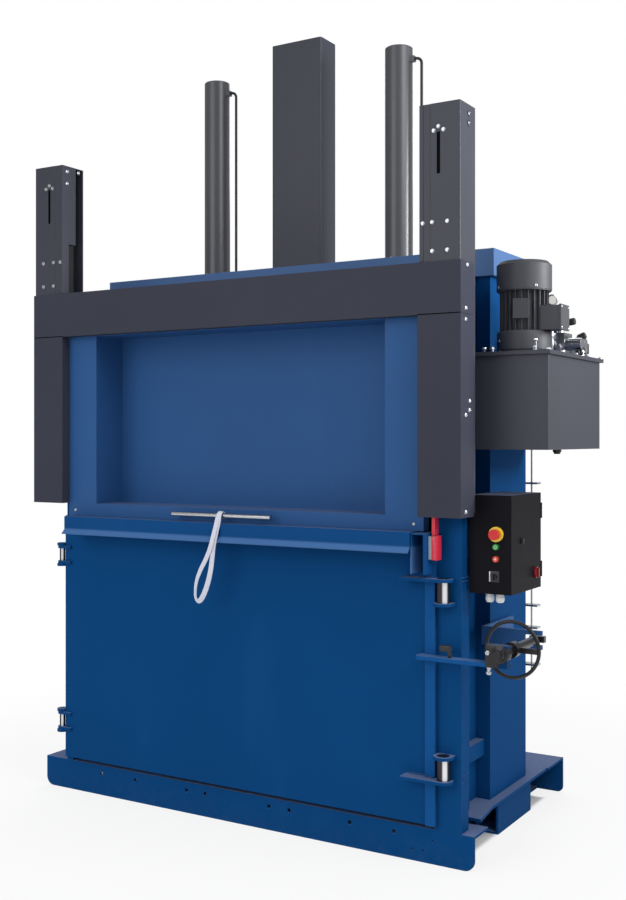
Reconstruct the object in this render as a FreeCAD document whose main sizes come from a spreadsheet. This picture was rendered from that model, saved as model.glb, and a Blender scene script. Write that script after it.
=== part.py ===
import FreeCAD, Part
import math
import os
import re

import Sketcher
from FreeCAD import Placement, Rotation, Vector

# Vertical mill-size baler for paper, film and card. Millimetres, +Z up, +X to the machine's right
# as seen from its front, front towards -Y. The origin lies on the floor, on the press axis and
# at the centre of the four floor anchors. Depths are measured back from the base's front face.

SIZES = {
    # frame
    "frontReach": (542, "base front face to the press axis"),
    "baseOver": (11.5, "front base beam beyond the cover"),
    "baseHalf": ("coverHalf + baseOver", "half width of the front base beam"),
    "beamHigh": (133, "height of the front base beam"),
    "plate": (10, "heavy frame plate"),
    "sheet": (4, "folded cover sheet"),
    "wall": (5, "folded channel wall"),
    "beamFoot": (100, "depth of the beams' bottom flanges"),
    "beamCorner": (40, "rounded lower corner of the front beam"),
    "portSize": (17, "bore in the front beam's face"),
    "portHigh": (97, "height of those bores"),
    "portInner": (163, "first pair of bores from the middle"),
    "portSecond": (262, "second pair of bores"),
    "portThird": (546, "third pair of bores"),
    "portOuter": (742, "last pair of bores"),
    "tapSize": (8, "small bore beside them"),
    "tapFar": (256, "first small bore to the beam's end"),
    "tapMiddle": (210, "second small bore to the beam's end"),
    "tapNear": (168, "raised small bore to the beam's end"),
    "tapLow": (44, "height of the first two small bores"),
    "tapRaised": (89, "height of the raised one"),
    "postDeep": (134, "depth of the front posts"),
    "chamberHalf": (914, "half width of the bale chamber"),
    "postWide": (36, "width of the front posts"),
    "postOut": ("chamberHalf + postWide", "outer face of the front posts"),
    "latchPostWide": (75, "latch post beside the right front post"),
    "latchPostOut": ("postOut + latchPostWide", "outer face of the latch post"),
    "latchPostDeep": (66, "depth of the latch post"),
    "floorTop": (157, "top of the floor plate"),
    "floorThick": (12, "floor plate"),
    "floorOver": (40, "floor plate beyond the columns"),
    "floorWide": ("columnOut + floorOver", "half width of the floor plate"),
    "flareIn": (30, "floor plate's front corners inside the base beam"),
    "floorFlare": ("baseHalf - flareIn", "half width of the floor plate at its front"),
    "floorStep": (305, "back end of that flare"),
    "rearBeam": (930, "front edge of the rear base beam"),
    "rearDeep": (200, "depth of the rear base beam"),
    "rearEnd": ("rearBeam + rearDeep", "back of the rear base beam"),
    "rearOver": (46, "rear base beam beyond the columns"),
    "rearHalf": ("columnOut + rearOver", "half width of the rear base beam"),
    "rearCorner": (25, "rounded lower corner of the rear beam"),
    "anchorPlate": (100, "size of the foot plates round the rear anchors"),
    "footFront": (435, "front of the side feet"),
    "footLong": (372, "length of a side foot"),
    "footBack": ("footFront + footLong", "back of the side feet"),
    "footOver": (10, "side feet beyond the columns"),
    "footOut": ("columnOut + footOver", "outer face of the side feet"),
    "footWide": (100, "width of a foot"),
    "anchorX": (1720, "anchor spacing across"),
    "anchorY": (960, "anchor spacing front to back"),
    "anchorHole": (22, "anchor hole"),
    "slatCount": (5, "raised slats on floor, door and platen between the wire channels"),
    "slatThick": (6, "slat thickness"),
    "wireGap": (25, "wire channel width"),
    "backWall": (905, "chamber face of the back wall"),
    "backRib": (80, "depth and width of a back rib"),
    "backRibs": (5, "number of back ribs"),
    "wallTop": (2270, "top of walls, posts and columns"),
    "ribReach": (46, "side ribs beyond the chamber"),
    "ribOut": ("chamberHalf + ribReach", "outer face of side ribs and stiffeners"),
    "stiffBack": (225, "back of the front stiffener"),
    "ribHigh": (65, "height of a side rib"),
    "ribLow": (335, "lowest side rib"),
    "ribPitch": (683, "side rib pitch"),
    "columnFront": (375, "front of the press columns"),
    "columnDeep": (399, "depth of the press columns"),
    "columnBack": ("columnFront + columnDeep", "back of the press columns"),
    "columnWide": (71, "columns beyond the chamber"),
    "columnOut": ("chamberHalf + columnWide", "outer face of the press columns"),
    "headOver": (22, "crosshead beyond the columns"),
    "headHalf": ("columnOut + headOver", "half width of the crosshead"),
    "headFront": (359, "front of the crosshead"),
    "headDeep": (401, "depth of the crosshead"),
    "headBack": ("headFront + headDeep", "back of the crosshead"),
    "headHigh": (110, "height of the crosshead"),
    "headPlate": (15, "crosshead plate"),
    # gate towers and dark cover
    "coverReach": (115, "dark cover beyond the posts"),
    "coverHalf": ("postOut + coverReach", "half width of the dark cover"),
    "coverFront": (-97, "front of the dark cover"),
    "coverBack": (26, "back edge of the cover's sides"),
    "legWide": (175, "width of a cover leg"),
    "legLow": (1322, "lower end of the cover legs"),
    "headerHigh": (195, "height of the header"),
    "headerLow": ("wallTop - headerHigh", "lower edge of the header"),
    "returnDeep": (44, "folded return of the cover"),
    "seam": (1, "seam between header and legs"),
    "fit": (0.3, "seat clearance"),
    "towerWide": (149, "width of a tower"),
    "towerTuck": (20, "towers behind the cover's sides"),
    "towerBack": ("coverBack + towerTuck", "back of the towers"),
    "towerLow": (1335, "lower end of the towers"),
    "towerTop": (2855, "top of the towers"),
    "guideFront": (-50, "front edge of the guide opening"),
    "guideUpper": (-5, "front edge of that opening above the gate's guides"),
    "guideTop": (2500, "top of the gate's guide opening"),
    "stripWide": (30, "set-back strip of a tower's front"),
    "stripStep": (2, "depth of that step"),
    "slotWide": (14, "tensioning slot"),
    "slotOff": (87, "slot to the tower's outer edge"),
    "slotLow": (2594, "lower end of the slot"),
    "slotLong": (154, "length of the tensioning slot"),
    "slotHigh": ("slotLow + slotLong", "upper end of the slot"),
    # gate
    "gatePlay": (21, "gate inside the chamber's half width"),
    "gateHalf": ("chamberHalf - gatePlay", "half width of the gate"),
    "gateFront": (-50, "front face of the gate"),
    "gateLow": (1265, "lower edge of the gate"),
    "gateHigh": (2140, "upper edge of the gate"),
    "panIn": (164, "recess inside the gate's edge"),
    "panHalf": ("gateHalf - panIn", "half width of the gate's recess"),
    "panUp": (57, "rail below the recess"),
    "panLow": ("gateLow + panUp", "lower edge of the recess"),
    "panDown": (67, "rail above the recess"),
    "panHigh": ("gateHigh - panDown", "upper edge of the recess"),
    "panBack": (136, "back of the recess"),
    "shoeReach": (42, "slide shoes beyond the gate"),
    "shoeOut": ("gateHalf + shoeReach", "outer face of the slide shoes"),
    "shoeHigh": (60, "height of a slide shoe"),
    "shoeUpper": (1700, "upper slide shoes"),
    "shoePlay": (1, "slide shoe clearance"),
    "barLeft": (-265, "left end of the handle bar"),
    "barRight": (232, "right end of the handle bar"),
    "barThick": (20, "handle bar diameter"),
    "barFront": (-90, "handle bar axis"),
    "barHigh": (1296, "height of the handle bar"),
    "standoff": (14, "handle standoff diameter"),
    "strapThick": (10, "pull strap thickness"),
    "weightWide": (115, "counterweight width"),
    "weightDeep": (120, "counterweight depth"),
    "weightLow": (2080, "counterweight lower end"),
    "weightLong": (480, "counterweight length"),
    "weightHigh": ("weightLow + weightLong", "counterweight upper end"),
    # door
    "doorLeft": ("-postOut", "left edge of the door skin"),
    "doorShort": (24, "door skin inside the right post"),
    "doorRight": ("postOut - doorShort", "right edge of the door skin"),
    "doorFront": (-12, "front of the door skin"),
    "skin": (10, "door skin"),
    "doorLow": (150, "lower edge of the door skin"),
    "doorHigh": (1260.7, "upper edge of the door skin"),
    "doorPlay": (9, "clearance of the door's box in the chamber"),
    "boxHalf": ("chamberHalf - doorPlay", "half width of the door's box"),
    "boxBack": (128, "chamber face of the door"),
    "boxLow": (166, "lower edge of the door's box"),
    "boxHigh": (1252, "upper edge of the door's box"),
    "barWide": (41, "width of the door's edge bar"),
    "barInner": ("doorRight - barWide", "inner edge of the door's edge bar"),
    "ledgeShort": (62, "ledge inside the door's right edge"),
    "ledgeHalf": ("doorRight - ledgeShort", "half width of the ledge"),
    "ledgeFront": (-112, "front of the ledge's web"),
    "ledgeTop": (1264.7, "top of the ledge"),
    "webLow": (1207, "lower edge of the ledge's web"),
    "lip": (18, "reach of the ledge's slanted lip"),
    "cheekBack": (-22, "back of the ledge end's cheeks"),
    "cheekLow": (1109, "lower edge of those cheeks"),
    "hingeOut": (25, "hinge axis beyond the door"),
    "hingeX": ("doorLeft - hingeOut", "door hinge axis across"),
    "hingeBack": (-5, "door hinge axis depth"),
    "hingePin": (26, "hinge pin"),
    "eye": (20, "radius of a door eye"),
    "lugEye": (24, "radius of a frame lug"),
    "lug": (12, "lug and eye plates"),
    "lugGap": (1, "gap between a lug and an eye"),
    "hingeLow": (273, "lower hinge"),
    "hingeHigh": (1038, "upper hinge"),
    "hingeSpan": (83, "clear span of a hinge"),
    "lockOut": (15, "locating pins beyond the post"),
    "lockX": ("postOut + lockOut", "locating pin axis across"),
    "lockBack": (-30, "locating pin axis depth"),
    "lockPin": (48, "locating pin"),
    "lockEye": (38, "radius round a locating pin"),
    "lockLow": (336, "lower locating pin"),
    "lockHigh": (999, "upper locating pin"),
    "lockSpan": (79, "visible span of a locating pin"),
    "hookPlay": (2, "play of a hook on its pin"),
    "hookLeft": (800, "inner end of a hook plate"),
    "runFit": (0.05, "running clearance of shafts"),
    # latch
    "armOver": (20, "latch arm inside the edge bar"),
    "armLeft": ("barInner - armOver", "left end of the latch arm"),
    "yokeOver": (28, "yoke beyond the spindle axis"),
    "armRight": ("spindleX + yokeOver", "right end of the latch arm"),
    "armFront": (-72, "front of the latch arm"),
    "armBack": (-26, "back of the latch arm"),
    "armLow": (785, "underside of the latch arm"),
    "armThick": (15, "latch arm plate"),
    "yokeWide": (85, "width of the yoke plate"),
    "yokeLeft": ("armRight - yokeWide", "left edge of the yoke plate"),
    "yokeThick": (28, "yoke plate"),
    "yokeUp": (33, "yoke plate above the spindle axis"),
    "yokeHigh": ("spindleHigh + yokeUp", "top of the yoke plate"),
    "spindleX": (1207, "spindle axis across"),
    "spindleUp": (50, "spindle axis above the arm's underside"),
    "spindleHigh": ("armLow + spindleUp", "spindle axis height"),
    "spindle": (24, "spindle diameter"),
    "sleeve": (36, "spindle sleeve diameter"),
    "nut": (33, "spindle nut diameter"),
    "nutFront": (-105, "front of the spindle's nut"),
    "sleeveBack": (280, "back of the sleeve"),
    "headOfBolt": (305, "front of the T-head"),
    "tThick": (22, "T-head along the spindle"),
    "tWide": (24, "T-head height"),
    "tLong": (60, "T-head length"),
    "wheelBack": (49, "hand wheel plane"),
    "wheelSize": (221, "hand wheel diameter"),
    "rim": (14, "hand wheel rim"),
    "hub": (60, "hand wheel hub"),
    "hubLong": (40, "hand wheel hub length"),
    "spokeWide": (20, "hand wheel spoke width"),
    "spokeThick": (8, "hand wheel spoke thickness"),
    "spokes": (2, "hand wheel spokes"),
    "keeperBack": (285, "front of the keeper plate"),
    "keeperOver": (28, "keeper plate beyond the spindle axis"),
    "keeperOut": ("spindleX + keeperOver", "outer edge of the keeper plate"),
    "keeperReach": (36, "keeper plate above and below the spindle axis"),
    "keeperLow": ("spindleHigh - keeperReach", "lower edge of the keeper plate"),
    "keeperHigh": ("spindleHigh + keeperReach", "upper edge of the keeper plate"),
    "keeperSlot": (38, "slot for the T-head, open at its outer end"),
    "keeperArm": (600, "back end of the keeper's arm"),
    # press
    "cylinderX": (489, "press cylinder axis"),
    "barrel": (122, "cylinder barrel diameter"),
    "bore": (100, "cylinder bore"),
    "pistonRod": (63, "piston rod"),
    "barrelIn": (20, "lower end of the barrel above the crosshead's underside"),
    "barrelLow": ("wallTop + barrelIn", "lower end of the barrel"),
    "barrelLong": (1032, "barrel length"),
    "barrelTop": ("barrelLow + barrelLong", "top of the barrel"),
    "barrelEdge": (3, "bevel round the barrel's top"),
    "gland": (40, "gland length"),
    "capThick": (32, "cylinder cap"),
    "flange": (180, "cylinder flange"),
    "flangeThick": (14, "cylinder flange thickness"),
    "pistonHigh": (40, "piston length"),
    "rodFoot": (88, "diameter of a piston rod's foot"),
    "rodFootHigh": (20, "height of that foot"),
    "pistonGap": (37, "piston below the barrel's top"),
    "pistonTop": ("barrelTop - pistonGap", "top of the piston"),
    "portDown": (57, "oil port below the barrel's top"),
    "portHeight": ("barrelTop - portDown", "height of the oil port"),
    "pipeOff": (110, "riser pipe beside the cylinder axis"),
    "pipe": (12.5, "riser pipe diameter"),
    "pipeBend": (25, "riser pipe bend"),
    "portOut": (78, "oil port boss"),
    "portWide": (24, "oil port boss width"),
    "portRoot": (1, "boss inside the barrel's wall"),
    "platenPlay": (9, "platen inside the chamber walls"),
    "platenHalf": ("chamberHalf - platenPlay", "half width of the platen"),
    "platenFront": (150, "front of the platen"),
    "rearPlay": (10, "platen before the back wall"),
    "platenBack": ("backWall - rearPlay", "back of the platen"),
    "platenLow": (2090, "underside of the platen"),
    "platenThick": (20, "platen plate"),
    "platenRib": (90, "platen ribs"),
    "mastWide": (264, "guide mast width"),
    "mastDeep": (138, "guide mast depth"),
    "mastTop": (3420, "top of the guide mast"),
    "mastWall": (8, "guide mast wall"),
    "mastCorner": (12, "guide mast corner"),
    "mastPlay": (1, "guide mast clearance"),
    "collar": (28, "mast collar width"),
    "collarHigh": (14, "mast collar height"),
    # power unit
    "rackThick": (12, "power unit's side plate"),
    "tankLeft": ("columnOut + rackThick", "left side of the tank"),
    "tankWide": (316, "width of the tank"),
    "tankRight": ("tankLeft + tankWide", "right side of the tank"),
    "tankFront": (140, "front of the tank"),
    "tankDeep": (628, "depth of the tank"),
    "tankBack": ("tankFront + tankDeep", "back of the tank"),
    "tankLow": (1572, "underside of the tank"),
    "tankTall": (358, "height of the tank"),
    "tankHigh": ("tankLow + tankTall", "rim of the tank"),
    "lidThick": (15, "tank lid"),
    "lidOver": (12, "tank lid overhang"),
    "motorIn": (163.5, "motor axis beyond the tank's left side"),
    "motorX": ("tankLeft + motorIn", "motor axis across"),
    "motorBack": (294, "motor axis depth"),
    "motorBody": (156, "motor body diameter"),
    "motorNeck": (140, "motor diameter above its flange"),
    "neckHigh": (10, "start of the neck above the flange"),
    "neckEnd": (8, "end of the neck below the fins"),
    "motorFin": (190, "diameter over the motor's fins"),
    "motorFins": (24, "number of motor fins"),
    "finThick": (3.5, "motor fin"),
    "finRoot": (2, "motor fin inside the body"),
    "finShort": (3, "gap between fins and cowl"),
    "shoulder": (6, "motor shoulder below the cowl"),
    "shoulderHigh": (2, "height of that shoulder"),
    "cowlLap": (14, "motor spigot inside the cowl"),
    "finUp": (55, "fins above the tank's rim"),
    "finLow": ("tankHigh + finUp", "lower end of the fins"),
    "finTall": (203, "height of the fins"),
    "cowlLow": ("finLow + finTall", "lower end of the fan cowl"),
    "cowlTall": (112, "height of the fan cowl"),
    "cowlTop": ("cowlLow + cowlTall", "top of the fan cowl"),
    "cowlSize": (213, "fan cowl diameter"),
    "cowlSheet": (2, "fan cowl sheet"),
    "cowlBevel": (14, "bevel round the cowl's top"),
    "cowlSlots": (12, "air slots in the cowl"),
    "airWide": (7, "width of an air slot"),
    "airInner": (32, "inner end of an air slot"),
    "airOuter": (81, "outer end of an air slot"),
    "footFlange": (200, "motor flange diameter"),
    "flangeHigh": (12, "motor flange thickness"),
    "terminalWide": (82, "width of the terminal box"),
    "boxRight": ("padOut + terminalWide", "outer end of the terminal box"),
    "terminalNear": (44, "terminal box before the motor axis"),
    "boxNear": ("motorBack - terminalNear", "front of the terminal box"),
    "terminalDeep": (90, "depth of the terminal box"),
    "boxFar": ("boxNear + terminalDeep", "back of the terminal box"),
    "terminalUp": (46, "terminal box above the fins' lower end"),
    "boxBase": ("finLow + terminalUp", "underside of the terminal box"),
    "terminalHigh": (92, "height of the terminal box"),
    "boxTop": ("boxBase + terminalHigh", "top of the terminal box"),
    "padThick": (4.5, "pad for the terminal box"),
    "padOut": ("motorX + motorBody / 2 + padThick", "motor pad for the terminal box"),
    "padRoot": (6, "pad inside the motor body"),
    "padSide": (8, "pad inside the terminal box's sides"),
    "padEnd": (4, "pad inside the terminal box's ends"),
    "padClear": (5, "gap between motor fins and terminal box"),
    "terminalLid": (8, "terminal box lid"),
    "terminalEdge": (3, "terminal box lid's overhang"),
    "valveIn": (173, "valve block beyond the tank's left side"),
    "valveX": ("tankLeft + valveIn", "left side of the valve block"),
    "valveWide": (80, "valve block width"),
    "valveBack": (500, "front of the valve block"),
    "valveDeep": (100, "valve block depth"),
    "valveHigh": (95, "valve block height"),
    "coil": (46, "valve coil diameter"),
    "coilLong": (66, "valve coil length"),
    "coilPitch": (50, "valve coil spacing"),
    "fillerIn": (58, "filler cap inside the tank's right side"),
    "fillerX": ("tankRight - fillerIn", "filler cap across"),
    "fillerBack": (690, "filler cap depth"),
    "fillerWide": (70, "filler cap diameter"),
    "fillerNeck": (53, "filler neck diameter"),
    "fillerHigh": (60, "filler cap height"),
    # controls
    "boxTuck": (29, "control box behind the cover"),
    "boxLeft": ("coverHalf - boxTuck", "left side of the control box"),
    "boxWide": (168, "width of the control box"),
    "boxSide": ("boxLeft + boxWide", "right side of the control box"),
    "panelGap": (2, "control box behind the tower"),
    "panelFront": ("towerBack + panelGap", "front of the control box"),
    "panelDeep": (312, "depth of the control box"),
    "panelBack": ("panelFront + panelDeep", "back of the control box"),
    "panelLow": (1034, "underside of the control box"),
    "panelTall": (369, "height of the control box"),
    "panelHigh": ("panelLow + panelTall", "top of the control box"),
    "panelSheet": (3, "control box sheet"),
    "doorPlate": (4, "control box door"),
    "knuckle": (10, "control box hinge"),
    "knuckleLong": (30, "control box hinge knuckle"),
    "knuckleIn": (40, "hinges inside the control box's ends"),
    "knuckleGap": (0.5, "gap between two knuckles"),
    "knuckleOut": (6, "control box hinge axis behind the box"),
    "tabLong": (12, "tab of a hinge knuckle"),
    "buttonIn": (58.5, "push buttons to the box's right side"),
    "buttonX": ("boxSide - buttonIn", "row of push buttons across"),
    "stopUp": (224, "stop button above the box's underside"),
    "stopHigh": ("panelLow + stopUp", "stop button height"),
    "startUp": (177, "start button above the box's underside"),
    "startHigh": ("panelLow + startUp", "start button height"),
    "resetUp": (132, "reset button above the box's underside"),
    "resetHigh": ("panelLow + resetUp", "reset button height"),
    "keyIn": (68, "key switch to the box's right side"),
    "keyX": ("boxSide - keyIn", "key switch across"),
    "keyUp": (66, "key switch above the box's underside"),
    "keyHigh": ("panelLow + keyUp", "key switch height"),
    "stopRing": (56, "ring under the stop button"),
    "ringHigh": (10, "ring thickness"),
    "mushroom": (40, "stop button head"),
    "mushroomHigh": (18, "stop button head thickness"),
    "button": (22, "push button"),
    "buttonHigh": (9, "push button height"),
    "stem": (12, "push button stem"),
    "stemLong": (30, "push button stem length"),
    "keyGripWide": (6, "key selector's grip width"),
    "keyGripLong": (20, "key selector's grip length"),
    "keyGripDeep": (13.5, "key selector's grip height"),
    "press": (4, "push button travel"),
    "lockSize": (24, "quarter-turn lock"),
    "lockBehind": (106, "quarter-turn lock behind the box's front"),
    "lockDeep": ("panelFront + lockBehind", "quarter-turn lock depth"),
    "lockUp": (194, "quarter-turn lock above the box's underside"),
    "lockZ": ("panelLow + lockUp", "quarter-turn lock height"),
    "switchSize": (44, "main switch"),
    "switchBehind": (251, "main switch behind the box's front"),
    "switchDeep": ("panelFront + switchBehind", "main switch depth"),
    "switchUp": (62, "main switch above the box's underside"),
    "switchZ": ("panelLow + switchUp", "main switch height"),
    "knobHigh": (8, "main switch knob"),
    "dialStem": (12, "side knobs' stem inside the control box door"),
    "gripWide": (10, "grip of the side knobs"),
    "boardInset": (30, "mounting board inset"),
    "deviceIn": (20, "first device from the board's front edge"),
    "breakerWide": (45, "contactor width"),
    "breakerPitch": (55, "contactor spacing"),
    "breakerUp": (220, "contactors above the box's underside"),
    "breakerTall": (80, "contactor height"),
    "breakerDeep": (70, "contactor depth"),
    "relayIn": (130, "relay unit from the board's front edge"),
    "relayWide": (70, "relay unit width"),
    "relayUp": (210, "relay unit above the box's underside"),
    "relayTall": (100, "relay unit height"),
    "relayDeep": (55, "relay unit depth"),
    "clampsWide": (180, "terminal row length"),
    "clampsUp": (90, "terminal row above the box's underside"),
    "clampsTall": (50, "terminal row height"),
    "clampsDeep": (40, "terminal row depth"),
    "bracketHigh": (60, "control box bracket"),
    "guardX": ("doorRight", "door switch left side"),
    "guardWide": (26, "door switch width"),
    "guardFront": (-78, "door switch front"),
    "guardDeep": (54, "door switch depth"),
    "guardLow": (1164, "door switch lower end"),
    "guardTall": (86, "door switch height"),
    "guardHigh": ("guardLow + guardTall", "door switch upper end"),
    "keyGap": (2, "gap between door switch and its tongue"),
    "keyInner": (8, "tongue inside the door switch's left side"),
    "keyOuter": (4, "tongue inside the door switch's right side"),
    "keyDeep": (12, "tongue behind the door switch's front"),
    # side rod
    "rodX": ("columnOut", "side rod across"),
    "rodBack": (847, "side rod depth"),
    "rodThick": (8, "side rod diameter"),
    "rodLow": (600, "lower end of the side rod"),
    "rodHigh": ("tankLow", "upper end of the side rod"),
    "rodPlateReach": (33, "rod plates beyond the rod"),
    "rodPlateOut": ("rodX + rodPlateReach", "outer end of the rod's plates"),
    "rodPlateDeep": (44, "depth of the rod's plates"),
    "rodPlateThick": (8, "rod's plates"),
    "rodPlateLow": (622, "lowest plate of the rod"),
    "rodPlateMiddle": (784, "second plate of the rod"),
    "rodPlateHigh": (881, "third plate of the rod"),
    "rodPlateTop": (1415, "highest plate of the rod"),
}

doc = FreeCAD.newDocument("baler")
sheet = doc.addObject("Spreadsheet::Sheet", "Sizes")
for row, (alias, (amount, meaning)) in enumerate(SIZES.items(), 1):
    sheet.set(f"A{row}", "0")
    sheet.setAlias(f"A{row}", alias)
    sheet.set(f"B{row}", meaning)
doc.recompute()
for row, (amount, meaning) in enumerate(SIZES.values(), 1):
    sheet.set(f"A{row}", f"={amount}")
doc.recompute()

nodes = {}


def expand(text):
    """Puts the sheet's name before every size named in an expression."""
    return re.sub(r"[A-Za-z]\w*", lambda word: "Sizes." + word[0] if word[0] in SIZES else word[0], text)


def number(text):
    return float(sheet.evalExpression(expand(text)))


def bind(thing, prop, text):
    thing.setExpression(prop, expand(text))


def back(text):
    """The y of a plane that lies so far behind the base's front face."""
    return f"(({text}) - frontReach)"


def node(label, thing):
    """Names a finished piece: its label names its file."""
    thing.Label = label
    nodes[label] = thing
    return thing


# ---- shapes whose sizes are bound to the sheet ----


def block(x, y, z):
    piece = doc.addObject("Part::Box", "block")
    for side, place, (low, high) in zip(("Length", "Width", "Height"), "xyz", (x, y, z)):
        bind(piece, side, f"({high}) - ({low})")
        bind(piece, f"Placement.Base.{place}", low)
    return piece


AXES = {
    "x": Vector(1, 0, 0),
    "y": Vector(0, 1, 0),
    "z": Vector(0, 0, 1),
}


def bar(axis, centre, radius, span):
    """A round bar along an axis; centre holds the two other coordinates in x, y, z order."""
    piece = doc.addObject("Part::Cylinder", "bar")
    piece.Placement = Placement(Vector(), Rotation(AXES["z"], AXES[axis]))
    bind(piece, "Radius", radius)
    bind(piece, "Height", f"({span[1]}) - ({span[0]})")
    places = dict(zip([name for name in "xyz" if name != axis], centre))
    places[axis] = span[0]
    for name, text in places.items():
        bind(piece, f"Placement.Base.{name}", text)
    return piece


def fuse(*pieces):
    whole = doc.addObject("Part::MultiFuse", "fuse")
    whole.Shapes = list(pieces)
    return whole


def cut(base, *tools):
    result = doc.addObject("Part::Cut", "cut")
    result.Base = base
    result.Tool = tools[0] if len(tools) == 1 else fuse(*tools)
    return result


def mirrored(source):
    """The same piece on the machine's other side."""
    copy = doc.addObject("Part::Mirroring", "mirrored")
    copy.Source = source
    copy.Normal = AXES["x"]
    return copy


def shifted(source, axis, distance):
    """A linked copy, moved along one axis."""
    copy = doc.addObject("Part::Compound", "shifted")
    copy.Links = [source]
    bind(copy, f"Placement.Base.{axis}", distance)
    return copy


def sketch(piece, plane, points, offset):
    """A closed outline on one of the body's own planes, each corner bound to the sheet."""
    drawing = piece.newObject("Sketcher::SketchObject", "outline")
    origin = next(f for f in piece.Origin.OriginFeatures if f.Role == plane + "_Plane")
    drawing.AttachmentSupport = [(origin, "")]
    drawing.MapMode = "FlatFace"
    bind(drawing, "AttachmentOffset.Base.z", offset)
    places = [Vector(number(across), number(along), 0) for across, along in points]
    for here, there in zip(places, places[1:] + places[:1]):
        drawing.addGeometry(Part.LineSegment(here, there), False)
    for side in range(len(points)):
        drawing.addConstraint(Sketcher.Constraint("Coincident", side, 2, (side + 1) % len(points), 1))
    for corner, (texts, place) in enumerate(zip(points, places)):
        for kind, text, amount in zip(("DistanceX", "DistanceY"), texts, (place.x, place.y)):
            index = drawing.addConstraint(Sketcher.Constraint(kind, -1, 1, corner, 1, amount))
            bind(drawing, f"Constraints[{index}]", text)
    return drawing


def rings(piece, plane, centres, radius, offset):
    """Circles on one of the body's own planes."""
    drawing = piece.newObject("Sketcher::SketchObject", "circles")
    origin = next(f for f in piece.Origin.OriginFeatures if f.Role == plane + "_Plane")
    drawing.AttachmentSupport = [(origin, "")]
    drawing.MapMode = "FlatFace"
    bind(drawing, "AttachmentOffset.Base.z", offset)
    for index, texts in enumerate(centres):
        middle = Vector(number(texts[0]), number(texts[1]), 0)
        drawing.addGeometry(Part.Circle(middle, AXES["z"], number(radius)), False)
        size = drawing.addConstraint(Sketcher.Constraint("Radius", index, number(radius)))
        bind(drawing, f"Constraints[{size}]", radius)
        for kind, text, amount in zip(("DistanceX", "DistanceY"), texts, (middle.x, middle.y)):
            place = drawing.addConstraint(Sketcher.Constraint(kind, -1, 1, index, 3, amount))
            bind(drawing, f"Constraints[{place}]", text)
    return drawing


def near(plane, span):
    """Where a pad's sketch stands: it grows along the plane's normal, which is -Y for XZ."""
    return f"-({span[1]})" if plane == "XZ" else span[0]


def far(plane, span):
    """Where a pocket's sketch stands: it cuts against the plane's normal."""
    return f"-({span[0]})" if plane == "XZ" else span[1]


def pad(piece, plane, points, span):
    feature = piece.newObject("PartDesign::Pad", "pad")
    feature.Profile = sketch(piece, plane, points, near(plane, span))
    bind(feature, "Length", f"({span[1]}) - ({span[0]})")
    return feature


def profile(plane, points, span):
    """A body padded from one outline, along the normal of its plane, over a span."""
    piece = doc.addObject("PartDesign::Body", "profile")
    pad(piece, plane, points, span)
    return piece


def pocket(piece, plane, drawing, span):
    feature = piece.newObject("PartDesign::Pocket", "pocket")
    feature.Profile = drawing
    bind(feature, "Length", f"({span[1]}) - ({span[0]})")
    return feature


def trim(piece, plane, points, span):
    return pocket(piece, plane, sketch(piece, plane, points, far(plane, span)), span)


def drill(piece, plane, centres, radius, span):
    return pocket(piece, plane, rings(piece, plane, centres, radius, far(plane, span)), span)


def round_edges(piece, radius, chosen):
    """Fillets the edges that a test picks."""
    doc.recompute()
    tip = piece.Tip
    edges = [f"Edge{i}" for i, edge in enumerate(tip.Shape.Edges, 1) if chosen(edge)]
    feature = piece.newObject("PartDesign::Fillet", "fillet")
    feature.Base = (tip, edges)
    bind(feature, "Radius", radius)
    return feature


def runs_along(edge, axis):
    return len(edge.Vertexes) == 2 and abs(edge.tangentAt(edge.FirstParameter).dot(AXES[axis])) > 0.999


def repeat(piece, feature, axis, length, count):
    """A linear pattern of one feature."""
    pattern = piece.newObject("PartDesign::LinearPattern", "pattern")
    pattern.Originals = [feature]
    role = {"x": "X_Axis", "y": "Y_Axis", "z": "Z_Axis"}[axis]
    pattern.Direction = (next(f for f in piece.Origin.OriginFeatures if f.Role == role), [""])
    bind(pattern, "Length", length)
    bind(pattern, "Occurrences", count)
    piece.Tip = pattern
    return pattern


def around(piece, feature, count):
    """A polar pattern of one feature about the body's Z axis."""
    pattern = piece.newObject("PartDesign::PolarPattern", "ring")
    pattern.Originals = [feature]
    pattern.Axis = (next(f for f in piece.Origin.OriginFeatures if f.Role == "Z_Axis"), [""])
    pattern.Angle = 360
    bind(pattern, "Occurrences", count)
    piece.Tip = pattern
    return pattern


def turned(points, places=()):
    """A body turned about the Z axis from an outline of (radius, height) corners."""
    piece = doc.addObject("PartDesign::Body", "turned")
    feature = piece.newObject("PartDesign::Revolution", "turn")
    feature.Profile = sketch(piece, "XZ", points, "0")
    feature.ReferenceAxis = (feature.Profile[0], ["V_Axis"])
    feature.Angle = 360
    for name, text in places:
        bind(piece, f"Placement.Base.{name}", text)
    return piece


def box_points(across, along):
    """The four corners of a rectangle."""
    return [(across[0], along[0]), (across[1], along[0]), (across[1], along[1]), (across[0], along[1])]


def tube(x, y, z, axis, thick):
    """A rectangular tube, open at both ends of one axis."""
    inner = [(f"({low}) + {thick}", f"({high}) - {thick}") for low, high in (x, y, z)]
    inner["xyz".index(axis)] = (x, y, z)["xyz".index(axis)]
    return cut(block(x, y, z), block(*inner))


# ---- base ----


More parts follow.
